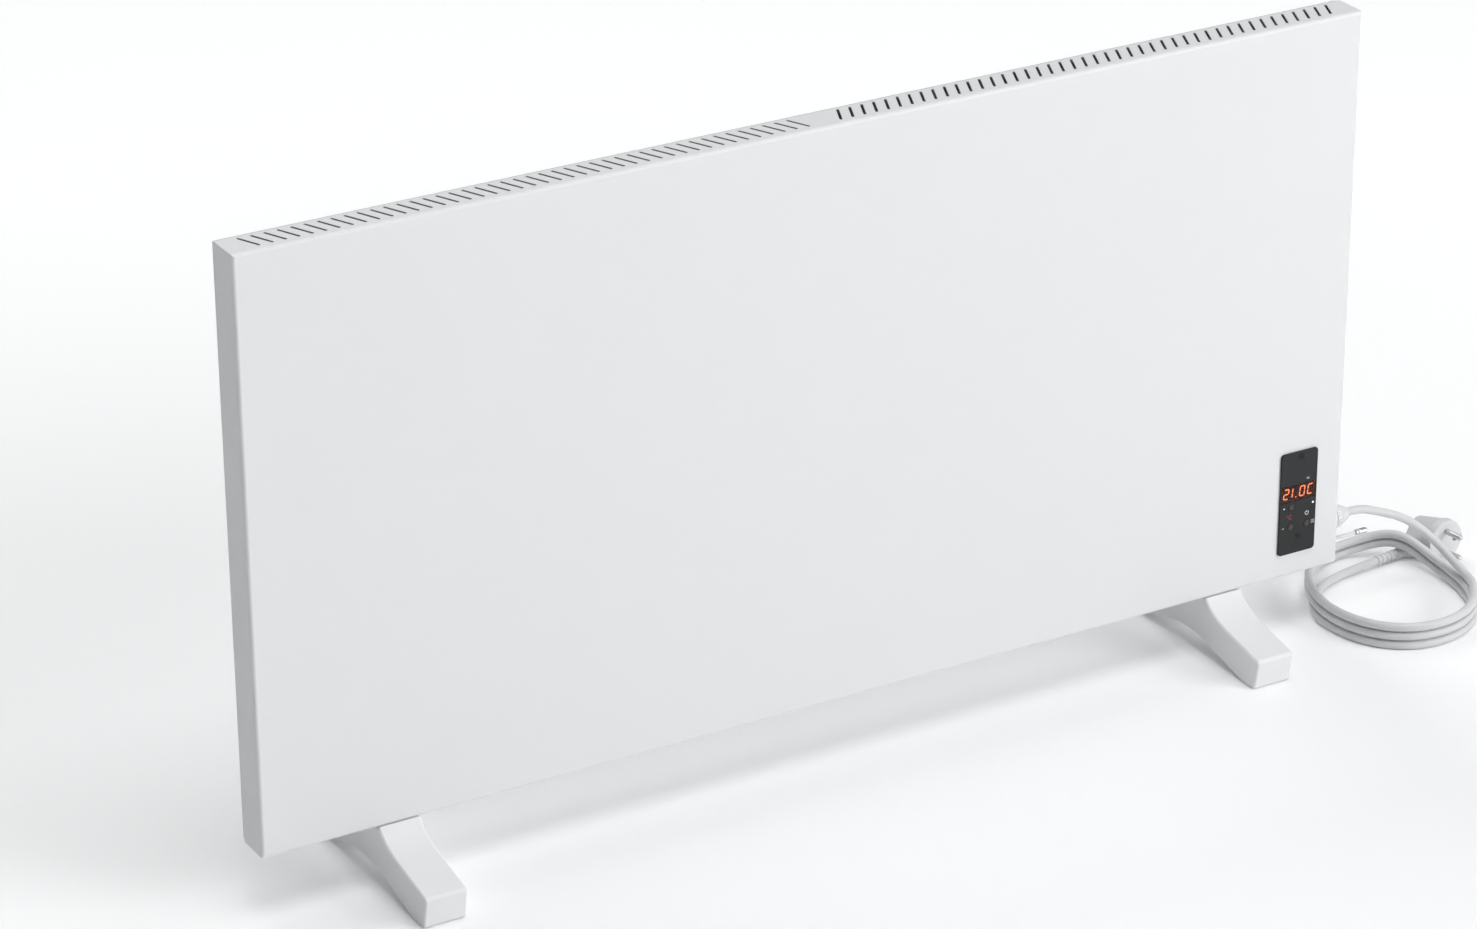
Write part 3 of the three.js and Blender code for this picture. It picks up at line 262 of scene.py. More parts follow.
floor.data.materials.append(floor_finish)
bpy.context.scene.collection.objects.link(floor)

for name, place, size, power in (
    ("top_light", (0.0, -0.3, 8.0), 8.0, 220),
    ("high_light", (0.0, -2.1, 7.7), 4.0, 178),
    ("front_light", (4.8, -5.8, 2.74), 4.0, 389),
    ("back_light", (0.0, 5.1, 6.1), 4.0, 191),
):
    lamp = bpy.data.lights.new(name, "AREA")
    lamp.size = size
    lamp.energy = power
    light = bpy.data.objects.new(name, lamp)
    light.location = place
    light.rotation_euler = (-Vector(place)).to_track_quat("-Z", "Y").to_euler()
    bpy.context.scene.collection.objects.link(light)

air = bpy.data.worlds.new("studio_air")
air.use_nodes = True
air.node_tree.nodes["Background"].inputs["Color"].default_value = air_colour
air.node_tree.nodes["Background"].inputs["Strength"].default_value = air_strength
bpy.context.scene.world = air
bpy.context.scene.view_settings.view_transform = "Standard"

# --------------------------------------------------------------------------------------------
# Front case: a sheet of painted steel folded into a shallow tray, with a small radius at each
# fold and a narrow flange behind. Warm air leaves by two rows of leaning slots in its top, and
# cool air comes in by wider slots in its bottom.
# --------------------------------------------------------------------------------------------

case_low, case_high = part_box("front_case")
sheet = 0.001
fold = 0.003                         # radius at the outside of a fold
fold_steps = 6
seam = 0.0007                        # radius of the tray's corners
flange = 0.012
slot_row_y = case_low.y + 0.018
outlets_per_side = 44
outlet_first = 0.0184
outlet_pitch = 0.0107
outlet_size = (0.0024, 0.022)
outlet_lean = radians(23.8)
inlet_count = 20
inlet_pitch = 0.034
inlet_size = (0.022, 0.008)
slot_corner = 0.0005
slot_cut = 0.002                     # above and below the sheet
mouth_half_width = 0.0171            # of the opening behind the control plate
mouth_span = (0.0946, 0.1436)
mouth_cut = 0.004                    # thickness of its cutter
case_sharp = 50                      # degrees: the folds stay smooth, the slots' edges crisp

white_paint = make_finish("white_paint", (0.75, 0.76, 0.775), 0.4, drift=0.006, drift_size=80,
                          grain=0.12, grain_size=1.1)


def rounded_rectangle(half_x, half_y, corner, steps=3):
    """Points round a rectangle about the origin, with round corners, counterclockwise."""
    points = []
    for quarter, (side_x, side_y) in enumerate(((1, 1), (-1, 1), (-1, -1), (1, -1))):
        for step in range(steps + 1):
            angle = (quarter + step / steps) * pi / 2
            points.append(Vector((
                side_x * (half_x - corner) + corner * cos(angle),
                side_y * (half_y - corner) + corner * sin(angle),
            )))
    return points


def loft(mesh, rings):
    """Extrudes a face through closed rings of places, each with as many places."""
    face = mesh.faces.new([mesh.verts.new(place) for place in rings[0]])
    for ring in rings[1:]:
        grown = bmesh.ops.extrude_face_region(mesh, geom=[face, *face.edges])["geom"]
        face = next(part for part in grown if isinstance(part, bmesh.types.BMFace))
        for vert, place in zip(face.verts, ring):
            vert.co = place
    bmesh.ops.recalc_face_normals(mesh, faces=mesh.faces[:])


def make_piece(name, mesh, finish, stands_for=(), body="root", sharp=35):
    """A piece of the object, smooth but for edges sharper than the given degrees."""
    data = bpy.data.meshes.new(name)
    mesh.to_mesh(data)
    mesh.free()
    data.materials.append(finish)
    piece = bpy.data.objects.new(name, data)
    bpy.context.scene.collection.objects.link(piece)
    data.shade_smooth()
    data.set_sharp_from_angle(angle=radians(sharp))
    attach(piece, body)
    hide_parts(*stands_for)
    return piece


def settle(piece, sharp=35):
    """Makes the shape that the piece's modifiers give it its own."""
    graph = bpy.context.evaluated_depsgraph_get()
    data = bpy.data.meshes.new_from_object(piece.evaluated_get(graph))
    piece.modifiers.clear()
    piece.data = data
    data.shade_smooth()
    data.set_sharp_from_angle(angle=radians(sharp))


def carve(piece, cutter, sharp=35):
    """Takes the cutter's volume out of the piece."""
    tool = bpy.data.objects.new("cutter", bpy.data.meshes.new("cutter"))
    cutter.to_mesh(tool.data)
    cutter.free()
    bpy.context.scene.collection.objects.link(tool)
    carving = piece.modifiers.new("carving", "BOOLEAN")
    carving.object = tool
    carving.solver = "EXACT"
    settle(piece, sharp)
    bpy.data.objects.remove(tool)


def even_shading(piece):
    """Large flat faces keep their own shading beside small round ones."""
    flat_weight = 90
    weigh = piece.modifiers.new("even_shading", "WEIGHTED_NORMAL")
    weigh.keep_sharp = True
    weigh.weight = flat_weight


case_middle = (case_low + case_high) / 2
case_half = (case_high - case_low) / 2
fold_angles = [step / fold_steps * pi / 2 for step in range(fold_steps + 1)]
inner = fold - sheet
case_profile = [                     # (inset from the tray's outline, y)
    *((fold - fold * sin(a), case_low.y + fold - fold * cos(a)) for a in fold_angles),
    *((fold - fold * cos(a), case_high.y - fold + fold * sin(a)) for a in fold_angles),
    (flange, case_high.y),
    (flange, case_high.y - sheet),
    *((fold - inner * cos(a), case_high.y - fold + inner * sin(a)) for a in fold_angles[::-1]),
    *((fold - inner * sin(a), case_low.y + fold - inner * cos(a)) for a in fold_angles[::-1]),
]
case_mesh = bmesh.new()
loft(case_mesh, [
    [
        Vector((case_middle.x + corner.x, y, case_middle.z + corner.y))
        for corner in rounded_rectangle(case_half.x - inset, case_half.z - inset, seam)
    ]
    for inset, y in case_profile
])
front_case = make_piece("front_case_sheet", case_mesh, white_paint,
                        ["front_case"], sharp=case_sharp)

slots = bmesh.new()


def cut_slot(x, z, size, lean=0):
    """An upright slot through the sheet at height z."""
    turn = Matrix.Rotation(lean, 2)
    corners = rounded_rectangle(size[0] / 2, size[1] / 2, slot_corner)
    outline = [turn @ corner for corner in corners]
    loft(slots, [
        [Vector((x + corner.x, slot_row_y + corner.y, z + depth)) for corner in outline]
        for depth in (-slot_cut, slot_cut)
    ])


for side in (-1, 1):
    for i in range(outlets_per_side):
        slot_x = middle_of_case + side * (outlet_first + i * outlet_pitch)
        cut_slot(slot_x, case_high.z - sheet / 2, outlet_size, -side * outlet_lean)
for i in range(inlet_count):
    slot_x = middle_of_case + (i - (inlet_count - 1) / 2) * inlet_pitch
    cut_slot(slot_x, case_low.z + sheet / 2, inlet_size)

plate_low, plate_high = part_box("control_plate")
plate_middle = (plate_low + plate_high) / 2
bmesh.ops.create_cube(
    slots,
    size=1,
    matrix=Matrix.Translation((plate_middle.x, case_low.y, sum(mouth_span) / 2))
    @ Matrix.Diagonal((2 * mouth_half_width, mouth_cut, mouth_span[1] - mouth_span[0], 1)),
)
carve(front_case, slots, sharp=case_sharp)
even_shading(front_case)

# --------------------------------------------------------------------------------------------
# Feet: two mouldings in pale plastic, each held to the panel by two screws from below. A foot
# swells up to the panel in a short sweep, slopes down to a blunt toe in front and behind, and
# stands on flat pads at the ends of a low arch.
# --------------------------------------------------------------------------------------------

pad_inner = 0.083                    # where the pads start, from the foot's middle
arch_height = 0.0163
arch_crown = 0.027                   # the arch leaves its crown level as far as this
arch_flank = 0.052                   # and comes down to the pads from here
arch_ease = 0.0045
toe_height = 0.0285
toe_lean = 0.0035                    # from its top back to the pad
toe_corner = 0.0045
toe_steps = 6
instep_height = 0.0368
sweep_length = 0.032
sweep_pull = 0.009
sweep_rise = 0.0047
sweep_steps = 12
foot_fillet = 0.0027
fillet_steps = 5
panel_back = 0.010                   # the rear cover's outer face
screw_bore = 0.009
screw_seat = 0.034                   # height of the shoulder under the screw's head
screw_spread = 0.01
bore_sides = 40

foot_plastic = make_finish("foot_plastic", (0.78, 0.79, 0.805), 0.46, drift=0.012,
                           drift_size=25, grain=0.2, grain_size=0.45)


def arc(start, pull, end, steps):
    """Places from start to just before end, drawn towards pull on the way."""
    start, pull, end = (Vector(place) for place in (start, pull, end))
    handles = start.lerp(pull, 2 / 3), end.lerp(pull, 2 / 3)
    return interpolate_bezier(start, *handles, end, steps)[:-1]


def foot_end(half, panel_face, top):
    """Half of the outline, from the middle of the arch, round the toe, up to the panel."""
    crown, pad = Vector((0, arch_height)), Vector((pad_inner, 0))
    handles = Vector((arch_crown, arch_height)), Vector((arch_flank, arch_ease))
    line = interpolate_bezier(crown, *handles, pad, 2 * sweep_steps)
    toe = half - toe_lean
    line += arc((toe - toe_corner, 0), (toe, 0), (toe, toe_corner), toe_steps)
    line.append(Vector((toe, toe_corner)))
    line += arc((half, toe_height - toe_corner), (half, toe_height),
                (half - toe_corner, toe_height), toe_steps)
    line.append(Vector((half - toe_corner, toe_height)))
    instep = (panel_face + sweep_length, instep_height)
    pull = (panel_face + sweep_pull, instep_height + sweep_rise)
    line += arc(instep, pull, (panel_face, top), sweep_steps)
    return [*line, Vector((panel_face, top))]


for side in ("left", "right"):
    low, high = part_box(f"foot_{side}")
    rear = foot_end(high.y, panel_back, high.z)
    front = foot_end(-low.y, -case_low.y, high.z)
    outline = rear + [Vector((-place.x, place.y)) for place in reversed(front[1:])]
    foot_mesh = bmesh.new()
    loft(foot_mesh, [
        [Vector((x, place.x, place.y)) for place in outline] for x in (low.x, high.x)
    ])
    rims = [edge for edge in foot_mesh.edges if edge.verts[0].co.x == edge.verts[1].co.x]
    bmesh.ops.bevel(foot_mesh, geom=rims, offset=foot_fillet, offset_type="OFFSET",
                    affect="EDGES", segments=fillet_steps, profile=0.5, material=-1)
    foot = make_piece(f"foot_{side}_moulding", foot_mesh, foot_plastic,
                      [f"foot_{side}"])
    bores = bmesh.new()
    for aside in (-screw_spread, screw_spread):
        place = Matrix.Translation(((low.x + high.x) / 2 + aside, slot_row_y, 0))
        bmesh.ops.create_cone(bores, cap_ends=True, segments=bore_sides, radius1=screw_bore / 2,
                              radius2=screw_bore / 2, depth=2 * screw_seat, matrix=place)
    carve(foot, bores)
    even_shading(foot)

# --------------------------------------------------------------------------------------------
# Screws: zinc plated pan heads with cross recesses, in the rear cover and up inside the feet,
# and two blackened flat heads sunk in the control plate.
# --------------------------------------------------------------------------------------------

pan_height = 0.0022
flat_height = 0.0006
shank_share = 0.55                   # of the head's radius, as are the cross's two sizes
cross_reach = 0.55
cross_width = 0.13
cross_floor = (0.5, -0.8)            # share of the cross's size, and height in head heights
cross_brim = (1.1, 0.1)
screw_round = 0.0002
screw_sides = 32

zinc = make_finish("zinc", (0.62, 0.63, 0.64), 0.3, metal=1, drift=0.08, drift_size=2,
                   grain=0.25, grain_size=0.3)
black_zinc = make_finish("black_zinc", (0.018, 0.018, 0.02), 0.35, metal=0.5, drift=0.1,
                         drift_size=2)


def lathe(profile, steps=48):
    """A solid turned about Z, from places (radius, height) that start and end on the axis."""
    mesh = bmesh.new()
    places = [mesh.verts.new((radius, 0, height)) for radius, height in profile]
    line = [mesh.edges.new(pair) for pair in zip(places, places[1:])]
    bmesh.ops.spin(mesh, geom=places + line, axis=(0, 0, 1), cent=(0, 0, 0), angle=2 * pi,
                   steps=steps, use_merge=True)
    bmesh.ops.remove_doubles(mesh, verts=mesh.verts[:], dist=1e-6)
    bmesh.ops.recalc_face_normals(mesh, faces=mesh.faces[:])
    return mesh


def rounded(profile, radius, steps=4):
    """The profile with round corners between its first and last place."""
    edge_share = 2.1                 # two corners fit on one edge, with a little left between
    pull = 0.55                      # brings the curve close to a circle's
    points = [Vector(place) for place in profile]
    line = [points[0]]
    for before, corner, after in zip(points, points[1:], points[2:]):
        edges = (before - corner), (after - corner)
        reach = min(radius, *(edge.length / edge_share for edge in edges))
        start, end = (corner + reach * edge.normalized() for edge in edges)
        handles = start.lerp(corner, pull), end.lerp(corner, pull)
        line += interpolate_bezier(start, *handles, end, steps)
    return [*line, points[-1]]


def turned_to(place, outwards):
    """Moves the origin to a place and Z to a direction."""
    return Matrix.Translation(place) @ Vector(outwards).to_track_quat("Z", "Y").to_matrix().to_4x4()


def cross_screw(node, outwards, head_height, crown, finish):
    """A screw in the node's place. The crown is the profile of its head's top, in shares of
    its radius and of its height."""
    low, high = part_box(node)
    outwards = Vector(outwards)
    length = abs(outwards.dot(high - low))
    place = (low + high) / 2 + outwards * length / 2
    radius = min((high - low).x, (high - low).z if outwards.z == 0 else (high - low).y) / 2
    shank = radius * shank_share
    mesh = lathe(rounded([
        (0, 0), *((radius * share, -head_height * drop) for share, drop in crown),
        (radius, -head_height), (shank, -head_height), (shank, -length), (0, -length),
    ], screw_round), screw_sides)
    mesh.transform(turned_to(place, outwards))
    screw = make_piece(f"{node}_turned", mesh, finish, [node])
    arm, width = radius * cross_reach, radius * cross_width
    star = [
        (width, arm), (-width, arm), (-width, width), (-arm, width), (-arm, -width),
        (-width, -width), (-width, -arm), (width, -arm), (width, -width), (arm, -width),
        (arm, width), (width, width),
    ]
    cross = bmesh.new()
    loft(cross, [
        [Vector((x * taper, y * taper, rise * head_height)) for x, y in star]
        for taper, rise in (cross_floor, cross_brim)
    ])
    cross.transform(turned_to(place, outwards))
    carve(screw, cross)


dome = [(0.6, 0), (0.95, 0.45)]
flat = [(0.98, 0)]
for i in range(1, 5):
    cross_screw(f"rear_screw_{i}", (0, 1, 0), pan_height, dome, zinc)
    cross_screw(f"foot_screw_{i}", (0, 0, -1), pan_height, dome, zinc)
for i in (1, 2):
    cross_screw(f"plate_screw_{i}", (0, -1, 0), flat_height, flat, black_zinc)

# --------------------------------------------------------------------------------------------
# Control plate: a dark satin plate that lies on the case's front, over an opening in it. It has
# a window for the display, holes for the buttons and the lamp, and sinks for its two screws.
# --------------------------------------------------------------------------------------------

plate_corner = 0.003
plate_corner_steps = 6
plate_edge = 0.0003
edge_break = 0.3                     # where the edge's bevel turns, as a share of it
window_half = (0.0175, 0.0075)
window_rise = 0.00915
window_corner = 0.0005
button_hole = 0.0032
lamp_hole = 0.0011
sink_radius = 0.0028
sink_depth = 0.0009
beyond = 0.001                       # how far a cutter stands out of what it cuts

plate_finish = make_finish("dark_plastic", (0.020, 0.0215, 0.022), 0.42, drift=0.05,
                           drift_size=12, grain=0.3, grain_size=0.35)
tune(plate_finish, Specular_IOR_Level=0.25)


def upright(outline, x, y, z):
    """Places of an outline drawn in the plane of the panel's face."""
    return [Vector((x + across, y, z + up)) for across, up in outline]


def ring_of(radius, steps=40):
    angles = [2 * pi * i / steps for i in range(steps)]
    return [(radius * cos(angle), radius * sin(angle)) for angle in angles]


plate_half = (plate_high - plate_low) / 2
plate_mesh = bmesh.new()
loft(plate_mesh, [
    upright(
        rounded_rectangle(plate_half.x - inset, plate_half.z - inset, plate_corner - inset,
                          plate_corner_steps),
        plate_middle.x, y, plate_middle.z,
    )
    for inset, y in (
        (plate_edge, plate_low.y),
        (plate_edge * edge_break, plate_low.y + plate_edge * edge_break),
        (0, plate_low.y + plate_edge),
        (0, plate_high.y),
    )
])
plate = make_piece("control_plate_moulding", plate_mesh, plate_finish,
                   ["control_plate"])

openings = bmesh.new()
through = (plate_low.y - beyond, plate_high.y + beyond)
sunk = (plate_low.y - beyond, plate_low.y + sink_depth)
window = rounded_rectangle(*window_half, window_corner)
loft(openings, [upright(window, plate_middle.x, y, plate_middle.z + window_rise) for y in through])
for node, radius, depths in (
    ("button_plus", button_hole, through),
    ("button_minus", button_hole, through),
    ("button_power", button_hole, through),
    ("indicator_lamp", lamp_hole, through),
    ("plate_screw_1", sink_radius, sunk),
    ("plate_screw_2", sink_radius, sunk),
):
    middle = sum(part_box(node), Vector()) / 2
    loft(openings, [upright(ring_of(radius), middle.x, y, middle.z) for y in depths])
carve(plate, openings)
even_shading(plate)

# --------------------------------------------------------------------------------------------
# Printed signs: plus and minus beside their buttons, ON and OFF beside the third. A degree sign
# in dull red stands between the first two buttons, a switch sign in white over the third, and
# three small waves of warm air over the window.
# --------------------------------------------------------------------------------------------

print_height = 0.00004
print_y = plate_low.y - print_height
sign_length = 0.0019
stroke = 0.0005
plus_x, plus_z = -0.0142, -0.0033
minus_x, minus_z = -0.0146, -0.0215
switch_x, switch_z = 0.0094, -0.0119
switch_radius = 0.0017
switch_open = 35                     # degrees, to either side of its top
switch_bar_rise = 0.0013
waves_x, waves_z = 0.0091, 0.0193
wave_stroke = 0.0003
wave_spacing = 0.0009
wave_swing = 0.0003
wave_points = 10
wave_step = 0.0002
line_spacing = 0.85

white_print = make_finish("white_print", (0.75, 0.77, 0.78), 0.6, drift=0.1, drift_size=0.6)
red_print = make_finish("red_print", (0.36, 0.035, 0.02), 0.6, drift=0.1, drift_size=0.6)


def printed(name, finish, shapes):
    """Flat shapes on the plate, each a closed outline of places from the plate's middle."""
    mesh = bmesh.new()
    for shape in shapes:
        places = upright(shape, plate_middle.x, print_y, plate_middle.z)
        mesh.faces.new([mesh.verts.new(place) for place in places])
    make_piece(name, mesh, finish)


def bar(x, z, width, height):
    return [(x - width / 2, z - height / 2), (x + width / 2, z - height / 2),
            (x + width / 2, z + height / 2), (x - width / 2, z + height / 2)]


def band(points, width):
    """The outline of a line drawn with a width."""
    points = [Vector(point) for point in points]
    asides = [
        (after - before).normalized().orthogonal() * width / 2
        for before, after in zip([points[0], *points], [*points[1:], points[-1]])
    ]
    there = [tuple(point - aside) for point, aside in zip(points, asides)]
    back = [tuple(point + aside) for point, aside in zip(points, asides)]
    return there + back[::-1]


def part_ring(x, z, radius, start, end, steps=24):
    """Places along a part of a circle, in degrees clockwise from its top."""
    angles = [radians(start + (end - start) * i / steps) for i in range(steps + 1)]
    return [(x + radius * sin(angle), z + radius * cos(angle)) for angle in angles]


def lettering(name, words, size, x, z, finish):
    """Words set from their left lower corner."""
    text = bpy.data.curves.new(name, "FONT")
    text.body = words
    text.size = size
    text.space_line = line_spacing
    setting = bpy.data.objects.new(name, text)
    shape = bpy.data.meshes.new_from_object(setting)
    bpy.data.objects.remove(setting)
    mesh = bmesh.new()
    mesh.from_mesh(shape)
    place = Matrix.Translation((plate_middle.x + x, print_y, plate_middle.z + z))
    mesh.transform(place @ Matrix.Rotation(pi / 2, 4, "X"))
    make_piece(name, mesh, finish)


plus_arm = (sign_length - stroke) / 2
white_shapes = [
    bar(plus_x, plus_z, sign_length, stroke),
    bar(plus_x, plus_z + (stroke + plus_arm) / 2, stroke, plus_arm),
    bar(plus_x, plus_z - (stroke + plus_arm) / 2, stroke, plus_arm),
    bar(minus_x, minus_z, sign_length, stroke),
    band(part_ring(switch_x, switch_z, switch_radius, switch_open, 360 - switch_open), stroke),
    bar(switch_x, switch_z + switch_bar_rise, stroke, sign_length),
]
for aside in (-wave_spacing, 0, wave_spacing):
    white_shapes.append(band([
        (waves_x + aside + wave_swing * sin(i * pi / 3), waves_z + i * wave_step)
        for i in range(wave_points)
    ], wave_stroke))
printed("white_signs", white_print, white_shapes)
lettering("degree_sign", "°C", 0.0056, -0.0118, -0.0142, red_print)
lettering("on_off_sign", "ON\nOFF", 0.0022, 0.0137, -0.0208, white_print)

# --------------------------------------------------------------------------------------------
# Display: seven-segment figures that glow orange, in front of a black module behind the plate.
# A thin dark red pane fills the plate's window over them.
# --------------------------------------------------------------------------------------------

digit_height = 0.0098
digit_width = 0.0058
segment = 0.00115
digit_slant = tan(radians(6))
segment_gap = 0.00012
pane_edge = 0.0002

black_plastic = make_finish("black_plastic", (0.012, 0.011, 0.011), 0.5)
glow = make_finish("segment_glow", (0.9, 0.25, 0.05), 0.5)
tune(glow, Emission_Color=(1.0, 0.94, 0.64, 1), Emission_Strength=3.4)
red_window = make_finish("red_window", (0.38, 0.12, 0.07), 0.08, drift=0.02, grain=0.01)
# The pane also glows faintly red of its own though it is no lamp: this glow is painted light.
tune(red_window, Transmission_Weight=1, IOR=1.3, Specular_IOR_Level=0.12,
     Emission_Color=(1.0, 0.22, 0.12, 1), Emission_Strength=0.012)

module_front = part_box("display_module")[0].y
window_middle = plate_middle.z + window_rise
half_w, half_h = (digit_width - segment) / 2, (digit_height - segment) / 2
strokes = {
    "top": ((-half_w, half_h), (half_w, half_h)),
    "middle": ((-half_w, 0), (half_w, 0)),
    "low": ((-half_w, -half_h), (half_w, -half_h)),
    "left_up": ((-half_w, 0), (-half_w, half_h)),
    "left_down": ((-half_w, -half_h), (-half_w, 0)),
    "right_up": ((half_w, 0), (half_w, half_h)),
    "right_down": ((half_w, -half_h), (half_w, 0)),
}
figures = [
    (-0.0119, ("top", "right_up", "middle", "left_down", "low")),
    (-0.0079, ("right_up", "right_down")),
    (0.0044, ("top", "left_up", "left_down", "low", "right_up", "right_down")),
    (0.0126, ("top", "left_up", "left_down", "low")),
]
point_x = -0.0015
figure_mesh = bmesh.new()


def lit_shape(outline):
    """A flat glowing shape just in front of the module, slanted as the figures are."""
    slanted = [(x + z * digit_slant, z) for x, z in outline]
    places = upright(slanted, plate_middle.x, module_front - print_height, window_middle)
    figure_mesh.faces.new([figure_mesh.verts.new(place) for place in places])


for figure_x, names in figures:
    for name in names:
        start, end = (Vector(place) for place in strokes[name])
        along = (end - start).normalized()
        aside = Vector((-along.y, along.x)) * segment / 2
        start, end = start + along * segment_gap, end - along * segment_gap
        tip = along * segment / 2
        hexagon = (start, start + tip - aside, end - tip - aside,
                   end, end - tip + aside, start + tip + aside)
        lit_shape([(figure_x + place.x, place.y) for place in hexagon])
lit_shape(bar(point_x, -half_h, segment, segment))
make_piece("display_figures", figure_mesh, glow)

pane_low, pane_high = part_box("display_window")
pane_half = (pane_high - pane_low) / 2
pane_mesh = bmesh.new()
loft(pane_mesh, [
    upright(rounded_rectangle(pane_half.x - inset, pane_half.z - inset, window_corner),
            plate_middle.x, y, window_middle)
    for inset, y in ((pane_edge, pane_low.y), (0, pane_low.y + pane_edge), (0, pane_high.y))
])
make_piece("display_pane", pane_mesh, red_window, ["display_window"])

# --------------------------------------------------------------------------------------------
# Buttons and lamp: three round soft caps with a slight dish, each with a rim behind the plate
# that keeps it in and a stem to its switch, and a small white lamp flush with the plate.
# --------------------------------------------------------------------------------------------

cap_radius = 0.0029
cap_dish = 0.00012
cap_round = 0.0004
cap_sides = 40
dish_floor = 0.6                     # the dish's flat floor and its brim, as shares of the cap
dish_brim = 0.86
rim_thickness = 0.001
stem_share = 0.39                    # of the rim's radius

button_finish = make_finish("button_plastic", (0.046, 0.034, 0.033), 0.5, drift=0.1,
                            drift_size=3, grain=0.4, grain_size=0.25)
lamp_glow = make_finish("lamp_white", (0.85, 0.87, 0.9), 0.3)
tune(lamp_glow, Emission_Color=(0.9, 0.95, 1, 1), Emission_Strength=0.5)

for name in ("plus", "minus", "power"):
    low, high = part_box(f"button_{name}")
    rim = (high.x - low.x) / 2
    rim_front = low.y - (plate_high.y + gap)
    rim_back = rim_front - rim_thickness
    button_mesh = lathe(rounded([
        (0, -cap_dish), (cap_radius * dish_floor, -cap_dish), (cap_radius * dish_brim, 0),
        (cap_radius, -cap_round), (cap_radius, rim_front), (rim, rim_front), (rim, rim_back),
        (rim * stem_share, rim_back), (rim * stem_share, low.y - high.y), (0, low.y - high.y),
    ], cap_round), cap_sides)
    middle = (low + high) / 2
    button_mesh.transform(turned_to((middle.x, low.y, middle.z), (0, -1, 0)))
    make_piece(f"button_{name}_cap", button_mesh, button_finish,
               [f"button_{name}"], f"{name}_button")

# --------------------------------------------------------------------------------------------
# Cable gland on the right wall: a round flanged body in grey plastic, held by a locknut inside,
# and a fluted dome nut with a soft taper where the lead comes out.
# --------------------------------------------------------------------------------------------

gland_thread = 0.0078
gland_inside = 0.009
gland_round = 0.0003
gland_sides = 72
thread_step = 0.00075
thread_depth = 0.0005
gland_flange = 0.0115
flange_end = 0.006
flange_bevel = 0.0012
dome_start, dome_shoulder, dome_tip = 0.0063, 0.012, 0.021
dome_radius = 0.0105
dome_bevel = (0.0008, 0.001)
mouth_radius = 0.0051
mouth_flare = (0.0016, 0.003)
mouth_depth = 0.002
dome_round = 0.0006
dome_sides = 160
flutes = 20
flute_depth = 0.06                   # as a share of the radius
flute_margin = 0.0004

grey_plastic = make_finish("grey_plastic", (0.70, 0.71, 0.72), 0.45, drift=0.03, drift_size=8,
                           grain=0.2)


def along_wall(node, profile, finish, steps=48, fluted=()):
    """A turned piece on the right wall, whose profile is (radius, distance from the wall), with
    flutes from one distance to another."""
    low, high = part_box(node)
    mesh = lathe(profile, steps)
    for vert in mesh.verts:
        if fluted and fluted[0] < vert.co.z < fluted[1]:
            turn = Vector((1, 0)).angle_signed(vert.co.xy, 0)
            share = 1 - flute_depth * (0.5 + 0.5 * cos(flutes * turn))
            vert.co.x *= share
            vert.co.y *= share
    place = (case_high.x, (low.y + high.y) / 2, (low.z + high.z) / 2)
    mesh.transform(turned_to(place, (1, 0, 0)))
    make_piece(f"{node}_turned", mesh, finish, [node])


bore = cord_thickness / 2 + gap
thread_line = [
    (gland_thread - thread_depth * (i % 2), -gland_inside + i * thread_step)
    for i in range(int((gland_inside - sheet) / thread_step))
]
along_wall("gland_body", rounded([
    (0, -gland_inside), *thread_line, (gland_thread, gap), (gland_flange, gap),
    (gland_flange, flange_end - flange_bevel), (gland_flange - flange_bevel, flange_end),
    (0, flange_end),
], gland_round), grey_plastic, gland_sides)
fluted_span = (dome_start + flute_margin, dome_shoulder - flute_margin)
along_wall("gland_cap", rounded([
    (0, dome_start), (dome_radius, dome_start), (dome_radius, dome_shoulder - dome_bevel[1]),
    (dome_radius - dome_bevel[0], dome_shoulder),
    (mouth_radius + mouth_flare[0], dome_tip - mouth_flare[1]), (mouth_radius, dome_tip),
    (bore, dome_tip), (bore, dome_tip - mouth_depth), (0, dome_tip - mouth_depth),
], dome_round), grey_plastic, dome_sides, fluted_span)

# --------------------------------------------------------------------------------------------
# Room temperature probe: a thin grey stem in a bush below the gland, and on its end a metal tip
# with a narrow crimped groove. It stands out of the wall, clear of the case's own warmth.
# --------------------------------------------------------------------------------------------

stem_inside = 0.009
stem_radius, tip_radius = 0.00165, 0.00265
tip_start, tip_end = 0.032, 0.044
crimp_depth = 0.0005
crimp_places = (0.0018, 0.0026, 0.0034)
tip_bevel = 0.0012
stem_round, tip_round = 0.0003, 0.0006
stem_sides, tip_sides = 32, 40

steel = make_finish("bare_steel", (0.66, 0.66, 0.67), 0.42, metal=1, drift=0.06, drift_size=3,
                    grain=0.15)

along_wall("probe_stem", rounded([
    (0, -stem_inside), (stem_radius, -stem_inside), (stem_radius, tip_start - gap),
    (0, tip_start - gap),
], stem_round), grey_plastic, stem_sides)
crimp_line = [
    (tip_radius - crimp_depth * depth, tip_start + place)
    for depth, place in zip((0, 1, 0), crimp_places)
]
along_wall("probe_tip", rounded([
    (0, tip_start), (tip_radius, tip_start), *crimp_line, (tip_radius, tip_end - tip_bevel),
    (tip_radius - tip_bevel, tip_end), (0, tip_end),
], tip_round), steel, tip_sides)

# --------------------------------------------------------------------------------------------
# Plug: a soft ribbed strain relief runs into an angled plug body with a round face, two thick
# round pins, an earth contact clip on either side and a socket for a third pin.
# --------------------------------------------------------------------------------------------

